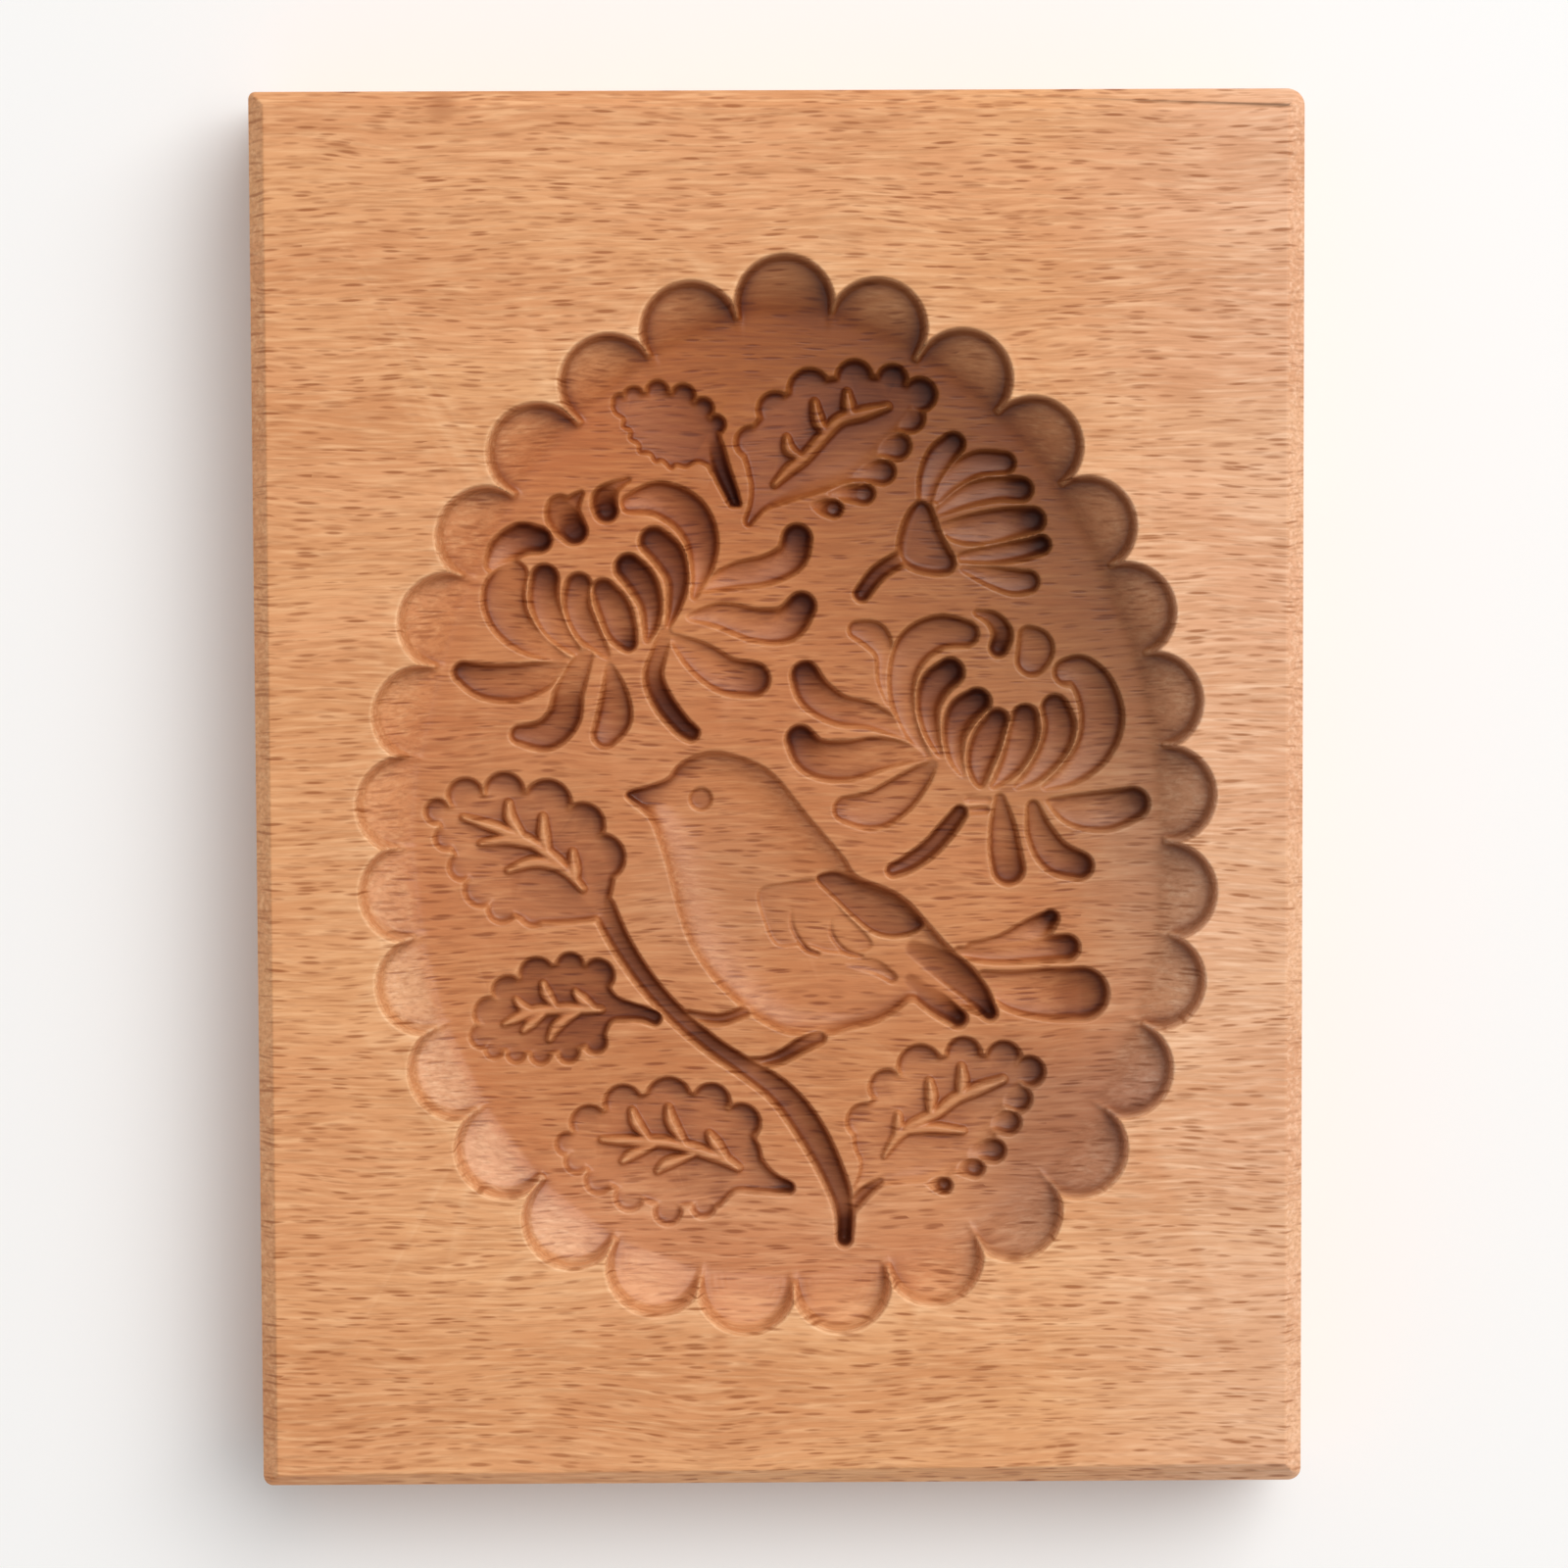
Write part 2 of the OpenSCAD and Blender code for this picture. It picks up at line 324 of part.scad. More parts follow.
branch_strokes = [
    [[7.3, -51.4, 0.9, 3.2], [7.2, -47.4, 1.2, 2.4], [5.5, -42.8, 1.5, 2.4],
     [3, -38.2, 1.7, 2.3], [0, -34.4, 1.5, 2.1], [-4, -31.5, 1.2, 2], [-8, -28.8, 1.1, 2.2],
     [-12.3, -25, 1.1, 2.1], [-15.5, -21.3, 1.15, 2.2], [-18.3, -17, 1.25, 2.2],
     [-20.2, -13, 1.4, 1.6]],
    [[11.4, -44.7, 0.5, 1.2], [9.6, -46, 0.8, 1.7], [8, -47.7, 0.8, 1.8]],
    [[-4, -25, 0.7, 1.2], [-7, -25.9, 0.7, 1.4], [-10.6, -25.5, 0.75, 1.6]],
    [[4.4, -28, 0.9, 1.5], [2.5, -28.9, 0.95, 1.8], [0, -30.3, 0.8, 2], [-2.4, -30.9, 0.65, 1.5],
     [-4.8, -30.7, 0.5, 1.4]]
];

bird_outline = [
    [-17.5, 0, 0.3], [-14.9, 1, 0.7], [-12.8, 1.8, 1], [-11.6, 3.3, 1.3], [-9.6, 4.5, 1.7], [-7.3, 4.9, 2],
    [-4.8, 4.4, 2.2], [-1.9, 3.2, 2.6],
    [0, 1.6, 3], [1.6, -0.4, 3.2], [3.4, -2.7, 3.4], [5.4, -5, 3.4], [7.4, -7.4, 3], [8.9, -9.5, 2.4],
    [12.4, -11, 2], [14.7, -12.4, 1.6],
    [16.5, -14.4, 1.4], [18.9, -17.1, 1.4], [20.9, -19.1, 1.4], [23.2, -21.8, 1.2], [24.6, -24.2, 0.8],
    [24.4, -25.8, 0.5], [22.6, -25.3, 0.5],
    [20.6, -24.9, 0.6], [18.6, -25.4, 0.6], [17, -24.7, 0.7], [15, -23.8, 0.9], [13.3, -25, 1.3],
    [11, -26.3, 1.5], [8.2, -27, 1.6],
    [5.4, -27.7, 1.6], [2, -27.7, 1.8], [-0.3, -27.1, 2], [-3.1, -25.5, 2.4], [-4.8, -24.1, 2.8],
    [-7, -21.9, 3.2], [-9, -19.3, 3.4],
    [-10.4, -16.8, 3.4], [-11.5, -13.7, 3.4], [-12.2, -10.9, 3.2], [-12.9, -8.1, 3], [-13.8, -5.2, 2.6],
    [-14.7, -2.9, 1.6], [-15.8, -1.7, 0.7]
];
wing_coverts = [
    [-2.7, -11.2, 0.5], [0.6, -10.2, 0.4], [4.6, -10, 0.4], [7.5, -13.5, 0.5], [10.6, -16.8, 0.5],
    [10.7, -18.2, 0.7], [8.6, -18.9, 0.6],
    [5.4, -18.6, 0.5], [2.6, -17.8, 0.5], [-0.4, -17.8, 0.5], [-1.9, -15.3, 0.5]
];
wing_bend = [
    [4.3, -9.5, 0.4], [6.6, -8.9, 0.9], [9.6, -9.9, 1.7], [13.3, -11.4, 2], [15.8, -13.6, 1.6],
    [16.7, -15.2, 0.8], [15.6, -16.3, 0.4],
    [13, -16.8, 0.3], [10.6, -16.2, 0.3], [8.2, -14.3, 0.3], [6, -12.1, 0.3], [4.4, -10.5, 0.3]
];
bird_strokes = [
    [[-8.6, -0.7, 2.2, 2.9], [-7.9, -0.7, 2.2, 2.9]],
    [[24, -25.3, 0.9, 3.4], [22.4, -23.1, 1.7, 3.2], [19.2, -20.3, 2.1, 2.8],
     [15.4, -18, 1.5, 2.5]],
    [[20.4, -25.9, 1.1, 3.3], [18, -23.9, 1.6, 2.5], [15, -21.6, 1.4, 2.4]],
    [[12.5, -21.1, 1, 3.1], [10.6, -20, 1.4, 2.7], [8, -19.8, 1.2, 2.3]],
    [[31, -14.4, 1, 2.6], [29, -16, 1.7, 1.7], [25.6, -17.4, 1.3, 1.2], [22, -17.9, 0.8, 0.8]],
    [[32.8, -17.8, 1.6, 2.5], [29.4, -18, 1.5, 1.8], [24.5, -18.5, 1.1, 1.3],
     [20.5, -18.3, 0.7, 1]],
    [[34.6, -23.1, 3.1, 2.8], [30.6, -23.1, 3, 1.9], [26.6, -22.7, 2.3, 1.5],
     [23.4, -21.4, 1.1, 1.3]]
];

// one step along a smooth curve through b and c
function between(a, b, c, d, t) =
    0.5 * (2 * b + (c - a) * t + (2 * a - 5 * b + 4 * c - d) * t * t + (3 * b - a - 3 * c + d) * t * t * t);
function smooth(p, steps) = concat(
    [for (i = [0:len(p) - 2]) for (k = [0:steps - 1])
        between(p[max(i - 1, 0)], p[i], p[i + 1], p[min(i + 2, len(p) - 1)], k / steps)],
    [p[len(p) - 1]]
);
function flat(v) = [v[0], v[1]] / norm([v[0], v[1]]);
function along(p, i) = flat(p[min(i + 1, len(p) - 1)] - p[max(i - 1, 0)]);
function left_of(v) = [-v[1], v[0]];

// the rounded end of a cut, past its last point
function cap(p, dir, angles) = [
    for (a = angles)
        [p[0] + dir[0] * p[2] * sin(a), p[1] + dir[1] * p[2] * sin(a), p[2] * cos(a), p[3] * cos(a)]
];
function with_caps(p, start_angles, end_angles) = concat(
    cap(p[0], -along(p, 0), start_angles),
    p,
    cap(p[len(p) - 1], along(p, len(p) - 1), end_angles)
);

// faces of a tube of rings, each ring with n points
function tube_faces(rings, n) = concat(
    [for (i = [0:rings - 2]) for (j = [0:n - 1])
        let(a = i * n + j, b = i * n + (j + 1) % n) [a, b + n, b]],
    [for (i = [0:rings - 2]) for (j = [0:n - 1])
        let(a = i * n + j, b = i * n + (j + 1) % n) [a, a + n, b + n]],
    [[for (j = [0:n - 1]) j]],
    [[for (j = [n - 1:-1:0]) (rings - 1) * n + j]]
);

// a gouge cut along a list of [x, y, half width, depth], measured down from base
module cut(path, section, base, top) {
    n = len(section) + 2;
    points = [
        for (i = [0:len(path) - 1])
            let(p = path[i], side = left_of(along(path, i)) * p[2])
            each concat(
                [[p[0] - side[0], p[1] - side[1], top]],
                [for (s = section) [p[0] + side[0] * s[0], p[1] + side[1] * s[0], -base - p[3] * s[1]]],
                [[p[0] + side[0], p[1] + side[1], top]]
            )
    ];
    polyhedron(points, tube_faces(len(path), n), convexity = 6);
}

function sunk(path) = [for (p = path) [p[0], p[1], p[2], p[3] * deep]];

module petal(path, steps = 1) {
    section = max([for (p = path) p[2]]) > 2.05 ? round_cut : small_cut;
    cut(with_caps(smooth(sunk(path), steps), [64, 34], []), section, floor_z, clear - floor_z);
}

module lobe(path) {
    tip = path[0][2] > 1.15 ? [62, 30] : [58];
    cut(with_caps(sunk(path), tip, []), small_cut, floor_z, clear - floor_z);
}

// a hollow inside a clockwise outline of [x, y, wall width]
module sink(outline, wall, base, depth, top) {
    n = len(outline);
    inward = [for (i = [0:n - 1]) -left_of(flat(outline[(i + 1) % n] - outline[(i + n - 1) % n]))];
    points = concat(
        [for (p = outline) [p[0], p[1], top]],
        [for (w = wall) for (i = [0:n - 1])
            let(p = outline[i] + concat(inward[i], 0) * outline[i][2] * w[0])
            [p[0], p[1], -base - depth * w[1]]]
    );
    polyhedron(points, tube_faces(len(wall) + 1, n), convexity = 6);
}

// a leaf is a shallow hollow with deeper lobes, and its veins are left standing
module leaf(outline, lobes, veins) {
    difference() {
        union() {
            sink(outline, slant_wall, floor_z, 0.8 * deep, clear - floor_z);
            for (path = lobes) lobe(path);
        }
        for (path = veins) vein(path);
    }
}

// a V-shaped ridge, as two cuts side by side leave it
module vein(path) {
    foot = 2.6 * deep;
    points = [
        for (i = [0:len(path) - 1])
            let(p = path[i], side = left_of(along(path, i)) * vein_foot)
            each [
                [p[0] - side[0], p[1] - side[1], -floor_z - foot],
                [p[0] + side[0], p[1] + side[1], -floor_z - foot],
                [p[0], p[1], -floor_z + 0.8]
            ]
    ];
    polyhedron(points, tube_faces(len(path), 3), convexity = 4);
}

// the scalloped rim and the floor that it slopes down to
function scallop(i) = scallops[(i + len(scallops)) % len(scallops)];
function outward(a, b) = left_of(flat(b - a));
function rim_point(a, b) =
    (a + b) / 2 + outward(a, b) * sqrt(max(0.01, pow(scallop_r, 2) - pow(norm(b - a) / 2, 2)));

module scoop(i) {
    c = scallop(i);
    out = outward(scallop(i - 1), scallop(i + 1));
    path = [
        concat(c, scallop_r, floor_z - 0.12),
        concat(c - out * slope_w, scallop_r * 0.85, floor_z - 0.8)
    ];
    cut(with_caps(path, [80, 56, 28], []), wide_cut, 0, over);
}

module hollow() {
    rim = [
        for (i = [0:len(scallops) - 1]) concat(rim_point(scallop(i), scallop(i + 1)), slope_w)
    ];
    sink(rim, rim_wall, 0, floor_z, over);
    for (i = [0:len(scallops) - 1]) scoop(i);
}

module bird() {
    top = clear - floor_z;
    sink(bird_outline, soft_wall, floor_z, 2.3 * deep, top);
    sink(wing_coverts, plain_wall, floor_z, 2.6 * deep, top);
    sink(wing_bend, soft_wall, floor_z, 3.5 * deep, top);
    for (path = bird_strokes) petal(path);
}

module plants() {
    for (path = left_petals) petal(path, len(path) > 6 ? 2 : 1);
    for (path = right_petals) petal(path, len(path) > 6 ? 2 : 1);
    for (path = bud_strokes) petal(path);
    sink(bud_cup, soft_wall, floor_z, 2 * deep, clear - floor_z);
    sink(comb_leaf, plain_wall, floor_z, 1.1 * deep, clear - floor_z);
    for (path = comb_strokes) lobe(path);
    leaf(top_leaf, top_lobes, top_veins);
    leaf(left_leaf, left_lobes, left_veins);
    leaf(small_leaf, small_lobes, small_veins);
    leaf(low_leaf, low_lobes, low_veins);
    leaf(right_leaf, right_lobes, right_veins);
    for (path = branch_strokes) petal(path);
}

// everything that is cut away from the face, sized to the rims that are left
module carving() {
    translate([0, 0, board_t])
    resize([hollow_w, hollow_l, 0])
    union() {
        hollow();
        translate([figure_move[0], figure_move[1], 0])
        scale([figure_scale, figure_scale, 1]) {
            plants();
            bird();
        }
    }
}

module blank() {
    rounded = [board_w / 2 - corner_r, board_l / 2 - corner_r];
    difference() {
        linear_extrude(board_t)
        union() {
            square([board_w, 2 * rounded[1]], center = true);
            square([2 * rounded[0], board_l], center = true);
            for (x = [-1, 1]) for (y = [-1, 1])
                translate([x * rounded[0], y * rounded[1]]) circle(corner_r, $fn = 48);
        }
        for (x = [-1, 1]) {
            translate([x * board_w / 2, 0, board_t]) rotate([0, 45, 0])
                cube([face_bevel * sqrt(2), board_l + 20, face_bevel * sqrt(2)], center = true);
            translate([x * board_w / 2, 0, 0]) rotate([0, 45, 0])
                cube([back_bevel * sqrt(2), board_l + 20, back_bevel * sqrt(2)], center = true);
        }
        for (y = [-1, 1]) {
            translate([0, y * board_l / 2, board_t]) rotate([45, 0, 0])
                cube([board_w + 20, face_bevel * sqrt(2), face_bevel * sqrt(2)], center = true);
            translate([0, y * board_l / 2, 0]) rotate([45, 0, 0])
                cube([board_w + 20, back_bevel * sqrt(2), back_bevel * sqrt(2)], center = true);
        }
    }
}

module mould_board() {
    color(wood)
    difference() {
        blank();
        carving();
    }
}

mould_board();
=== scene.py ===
import math
import bpy
import numpy as np
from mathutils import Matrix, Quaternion, Vector


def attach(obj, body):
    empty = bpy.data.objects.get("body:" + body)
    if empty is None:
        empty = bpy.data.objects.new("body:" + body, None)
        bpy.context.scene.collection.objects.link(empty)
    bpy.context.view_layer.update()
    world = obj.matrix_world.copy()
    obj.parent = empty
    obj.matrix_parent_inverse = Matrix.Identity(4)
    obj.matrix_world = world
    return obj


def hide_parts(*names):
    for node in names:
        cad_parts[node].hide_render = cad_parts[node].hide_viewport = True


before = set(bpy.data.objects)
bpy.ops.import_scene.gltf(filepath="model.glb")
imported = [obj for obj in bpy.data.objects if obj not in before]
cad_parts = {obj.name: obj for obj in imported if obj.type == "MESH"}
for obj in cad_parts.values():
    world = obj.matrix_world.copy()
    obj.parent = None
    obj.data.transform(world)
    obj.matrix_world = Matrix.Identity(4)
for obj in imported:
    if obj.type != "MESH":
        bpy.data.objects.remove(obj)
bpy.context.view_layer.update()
print('frame loaded')

# the carving is worked out in mm on a grid, as depths under the board's face

hollow = dict(
    floorDepth=5.2,
    scoopRadius=5.65,
    rimDepth=2.3,        # of a scoop's bottom at the rim, which falls from there to the floor
    floorStart=0.6,      # where it meets the floor, inward from the scoop's middle
    scoopWall=0.9,       # width of the curved wall round a scoop
    pointWall=1.1,       # and of the ridge that runs in from each point between two scoops
    floorBlend=0.22,     # how softly the slope runs out into the floor
    toolMark=0.026,      # depth of the fine marks that the gouge left round the scoops
    markTurn=8.6,        # radians of them to the mm
    markSlant=0.5,
)
# centres of the scallops round the hollow, clockwise from the top, in mm
scoopCentres = [
    (0.8, 55.7), (11.3, 53), (21, 47.2), (29, 39.5), (35.1, 30.4), (39.6, 20.6), (42.7, 10.4),
    (44.2, -0.3), (44.3, -11.4), (43, -21.7), (39.3, -31.8), (34.1, -41), (26.6, -48.2), (17.5, -53.4),
    (6.9, -56.5), (-4, -56.7), (-14.4, -54.5), (-24, -49), (-31.7, -40.8), (-37, -31.7), (-40.6, -21.9),
    (-42.4, -11.3), (-42.7, -1.2), (-40.7, 9.1), (-37.7, 19.7), (-33.3, 29.5), (-27.4, 39),
    (-19.2, 46.8), (-9.9, 52.7)]

# gouge strokes are rows of x, y, half width and depth in mm, from the tip to the root
leftFlowerPetals = [
    [(-16.8, 33.2, 1.15, 1), (-13.6, 33.7, 2, 1.8), (-10.4, 32.1, 2.25, 2.4), (-8.8, 29.2, 1.95, 2.4),
     (-8.8, 26, 1.4, 1.8), (-9.6, 22.6, 0.4, 0.5)],
    [(-14.2, 28.9, 1.7, 2.6), (-12.5, 27.2, 1.85, 2.8), (-11.5, 24.6, 1.35, 2.6),
     (-11.9, 21.5, 0.85, 1.8), (-12.6, 19.2, 0.3, 0.5)],
    [(-17.1, 25.9, 1.65, 3), (-15.6, 24.2, 1.75, 2.8), (-14.6, 21.8, 1.35, 2.2), (-14.6, 19.3, 0.9, 1.4),
     (-15, 17.6, 0.3, 0.5)],
    [(-20, 23.2, 1.5, 2.4), (-18.8, 21.2, 1.95, 2.2), (-18, 18.9, 1.8, 2), (-17.2, 17.3, 1.05, 2.2)],
    [(-22.8, 23.8, 1.6, 2.2), (-23.05, 21.5, 1.65, 2), (-22, 18.9, 1.55, 1.5), (-20.4, 16.9, 0.85, 0.8),
     (-19.6, 15.9, 0.4, 0.4)],
    [(-26.7, 24.7, 1.7, 2.6), (-26.8, 22.3, 1.8, 2), (-25.8, 19.5, 1.65, 1.5), (-24, 17.3, 0.95, 0.8),
     (-22.5, 15.9, 0.4, 0.4)],
    [(-30.3, 25, 1.85, 1.4), (-31.3, 23, 2.5, 1.8), (-30.8, 20.3, 2.35, 1.8), (-28.7, 17.9, 1.8, 1.2),
     (-25.4, 15.9, 0.8, 0.5), (-24, 15.4, 0.4, 0.3)],
    [(-27.3, 29.1, 1.55, 3), (-29.3, 29.2, 1.85, 2.4), (-31.2, 28, 1.75, 1.5), (-32.4, 26.4, 1.1, 0.8)],
    [(-23.3, 30.1, 1.6, 3), (-24.4, 31.6, 2, 1.8), (-24.8, 32.6, 1.7, 1.1)],
    [(-24, 32.3, 1.2, 1.5), (-23.3, 33.4, 0.9, 1.4), (-22.4, 34.4, 0.35, 0.8)],
    [(-19.6, 32.4, 1.4, 2.8), (-19.8, 33.7, 1.45, 1.8), (-18.8, 35, 0.8, 1), (-17, 35.9, 0.3, 0.6)],
    [(2.1, 29.1, 1.75, 2.8), (1.4, 27, 1.85, 2.1), (-1.3, 25.6, 1.75, 1.5), (-5, 24.9, 1.5, 1.1),
     (-9, 23.5, 0.6, 0.4)],
    [(2.6, 21.4, 1.7, 2.8), (0.8, 19.4, 2.1, 1.9), (-2.5, 19.3, 1.95, 1.4), (-6.5, 20.4, 1.5, 1),
     (-10, 20.3, 0.5, 0.3)],
    [(-3, 13.1, 2.05, 2.2), (-6, 13.6, 2.15, 1.5), (-9, 15.6, 1.85, 1.1), (-11.9, 17.8, 0.6, 0.4)],
    [(-36, 14, 1.3, 2), (-33.6, 13, 2, 2), (-30.2, 12.8, 2.2, 1.7), (-27, 13.6, 1.65, 1.1),
     (-24.6, 14.8, 0.5, 0.4)],
    [(-29.6, 6.9, 1.15, 1.4), (-26.6, 6.9, 1.85, 2.2), (-24.6, 8.8, 1.95, 2.4), (-24, 11.6, 1.75, 1.5),
     (-22.8, 14.4, 1.3, 0.8), (-21.9, 16, 0.8, 0.5)],
    [(-19.8, 6.9, 1.6, 1.6), (-18.8, 8.9, 2.05, 2), (-18.8, 11.8, 1.45, 1.3), (-19.3, 14.6, 0.5, 0.3)],
    [(-10.1, 7, 1.05, 2.2), (-11.2, 7.9, 1.15, 2.6), (-13.2, 10.5, 1.25, 2.6), (-14.3, 13.4, 1.15, 1.7),
     (-13.6, 16.3, 0.95, 0.8), (-12.9, 18.3, 0.8, 0.4)]]

rightFlowerPetals = [
    [(9, 18.7, 1.1, 0.9), (10.9, 18, 1.6, 1.1), (12, 16, 1.1, 0.9), (12, 13, 0.8, 0.6),
     (12.6, 10.4, 0.4, 0.3)],
    [(21.3, 18.2, 1.55, 1.8), (18.4, 18.4, 2, 2), (15.6, 16.9, 2.15, 1.9), (14.2, 14.1, 1.75, 1.6),
     (14.1, 10.6, 1.4, 1.3), (15.2, 7, 0.95, 0.9), (16.9, 4.4, 0.35, 0.4)],
    [(19.5, 13.8, 1.7, 3.2), (17.8, 12.3, 1.8, 2.8), (17, 9.8, 1.35, 2), (17.4, 7, 0.95, 1.2),
     (18.4, 4.5, 0.35, 0.4)],
    [(22.6, 10.4, 1.65, 3.2), (20.9, 9.1, 1.8, 2.8), (20, 6.7, 1.35, 1.8), (20.2, 4, 0.85, 0.8),
     (21, 2.2, 0.35, 0.3)],
    [(24.9, 8.2, 1.5, 2.8), (23.8, 6, 1.85, 2.4), (23, 3.7, 1.6, 1.8), (22.9, 1.9, 0.95, 1.2),
     (23, 1.1, 0.5, 0.8)],
    [(28.1, 8.6, 1.6, 2.4), (27.8, 6.3, 1.85, 2.2), (26.8, 3.8, 1.5, 1.6), (25.3, 1.7, 0.8, 0.8),
     (24.4, 0.8, 0.3, 0.4)],
    [(31.5, 9.7, 1.6, 2.2), (32.1, 7.4, 1.85, 2.2), (31.2, 4.7, 1.65, 1.8), (29.2, 2.2, 1.1, 1),
     (27.2, 0.8, 0.4, 0.3)],
    [(32.9, 13.8, 1.6, 1.4), (34.4, 13.8, 1.9, 1.8), (36.1, 11.8, 2.3, 2), (36.9, 8.3, 2.5, 2.2),
     (35.8, 4.8, 2.1, 1.8), (33.2, 2.2, 1.4, 1), (30.4, 0.7, 0.4, 0.3)],
    [(25.1, 16.6, 1.1, 2.4), (25.5, 18.2, 1.2, 1.8), (24.5, 19.8, 0.9, 1.2), (22.6, 20.6, 0.4, 0.5)],
    [(28.5, 17.9, 1.25, 0.9), (29.3, 16.6, 2.1, 1.4), (28.9, 15.2, 1.85, 1.5)],
    [(3, 13.5, 1.7, 2.6), (4.1, 11.4, 2, 2), (6.8, 9.6, 1.8, 1.5), (10.3, 8.9, 1.5, 1),
     (13.8, 7.2, 0.9, 0.5), (15.8, 5.7, 0.3, 0.2)],
    [(2.4, 6.2, 1.7, 2.8), (4, 4.2, 2.2, 2.2), (7.5, 3.7, 2.35, 1.7), (11.3, 4.5, 2, 1.2),
     (15.2, 4.6, 1, 0.5), (17.2, 4.1, 0.3, 0.2)],
    [(7.7, -1.8, 1.55, 1), (10.8, -1.9, 2.25, 1.4), (13.5, -0.4, 2.15, 1.6), (15.9, 1.7, 1.45, 1.2),
     (17.5, 3.2, 0.6, 0.3)],
    [(26.2, -8.7, 1.9, 2.2), (25.8, -6.6, 1.85, 1.8), (25.5, -3.6, 1.45, 1.4), (25.2, -0.6, 0.6, 0.6)],
    [(34.3, -8.4, 1.65, 2.4), (31.6, -7.3, 1.95, 2), (29.8, -4.6, 1.55, 1.6), (29, -1.6, 0.8, 0.8)],
    [(40.4, -1.3, 1.95, 2.4), (37.3, -2.1, 2.35, 1.6), (33.8, -2, 1.85, 1.1), (31, -1, 0.5, 0.4)],
    [(13, -8.8, 0.85, 1.6), (14.8, -8, 1.05, 2), (17.2, -6.3, 1.1, 2.2), (19.2, -4.1, 1.1, 2.2),
     (20.6, -2.3, 0.95, 1.8)],
    [(21.6, -2, 0.45, 0.5), (23.6, -1.9, 0.45, 0.5)],
    [(21.6, -0.7, 0.4, 0.3), (23.9, -0.8, 0.4, 0.3)]]

budStrokes = [
    [(19.9, 39.8, 1.4, 2.2), (18.5, 38.3, 1.65, 1.8), (17.3, 36, 1.35, 1.3), (16.8, 33.6, 0.9, 0.7)],
    [(25.7, 37.6, 1.35, 1.8), (22.6, 37.5, 1.5, 1.5), (19.9, 35.9, 1.3, 1.1), (18.2, 33.6, 0.6, 0.5)],
    [(27.6, 34.6, 1.45, 2.3), (25, 34.7, 1.45, 1.6), (22, 34.1, 1.35, 1.1), (19.2, 32.7, 0.8, 0.5),
     (18, 31.9, 0.4, 0.3)],
    [(28.9, 31.1, 1.55, 2.8), (26.8, 30.8, 1.85, 2), (23.5, 30.2, 2, 1.4), (20.4, 30, 1.4, 0.7),
     (18.9, 30.4, 0.6, 0.3)],
    [(29.9, 28.3, 1.15, 2.6), (27.4, 27.7, 1.25, 1.9), (24, 27.2, 1.15, 1.3), (20.9, 26.9, 0.6, 0.5)],
    [(28.4, 24.1, 1.35, 1.6), (26.7, 24.1, 1.5, 1.3), (24, 24.8, 1.15, 0.9), (21.2, 25.6, 0.45, 0.3)],
    [(9.5, 22.8, 0.95, 2.2), (11.3, 25.1, 1, 2), (13.9, 26.8, 0.95, 1.4)]]

branchStrokes = [
    [(7.3, -51.4, 0.9, 3.2), (7.2, -47.4, 1.2, 2.4), (5.5, -42.8, 1.5, 2.4), (3, -38.2, 1.7, 2.3),
     (0, -34.4, 1.5, 2.1), (-4, -31.5, 1.2, 2), (-8, -28.8, 1.1, 2.2), (-12.3, -25, 1.1, 2.1),
     (-15.5, -21.3, 1.15, 2.2), (-18.3, -17, 1.25, 2.2), (-20.2, -13, 1.4, 1.6)],
    [(11.4, -44.7, 0.5, 1.2), (9.6, -46, 0.8, 1.7), (8, -47.7, 0.8, 1.8)],
    [(-4, -25, 0.7, 1.2), (-7, -25.9, 0.7, 1.4), (-10.6, -25.5, 0.75, 1.6)],
    [(4.4, -28, 0.9, 1.5), (2.5, -28.9, 0.95, 1.8), (0, -30.3, 0.8, 2), (-2.4, -30.9, 0.65, 1.5),
     (-4.8, -30.7, 0.5, 1.4)]]

birdStrokes = [
    [(24, -25.3, 0.9, 3.4), (22.4, -23.1, 1.7, 3.2), (19.2, -20.3, 2.1, 2.8), (15.4, -18, 1.5, 2.5)],
    [(20.4, -25.9, 1.1, 3.3), (18, -23.9, 1.6, 2.5), (15, -21.6, 1.4, 2.4)],
    [(31, -14.4, 1, 2.6), (29, -16, 1.7, 1.7), (25.6, -17.4, 1.3, 1.2), (22, -17.9, 0.8, 0.8)],
    [(32.8, -17.8, 1.6, 2.5), (29.4, -18, 1.5, 1.8), (24.5, -18.5, 1.1, 1.3), (20.5, -18.3, 0.7, 1)],
    [(34.6, -23.1, 3.1, 2.8), (30.6, -23.1, 3, 1.9), (26.6, -22.7, 2.3, 1.5), (23.4, -21.4, 1.1, 1.3)]]

# outlines are rows of x, y and the width of the wall there, in mm
budCup = [
    (15.9, 33.3, 0.5), (16.9, 33.2, 0.6), (17.6, 32.4, 0.9), (18.3, 30.5, 1), (19.2, 28.5, 1),
    (20.2, 26.6, 0.8), (19.8, 25.3, 0.8), (18.6, 24.9, 0.9), (16.8, 25, 1), (15, 25.6, 1),
    (13.8, 26.6, 1), (13.5, 28.2, 1.1), (13.9, 30.2, 1.1), (14.7, 32.1, 1)]

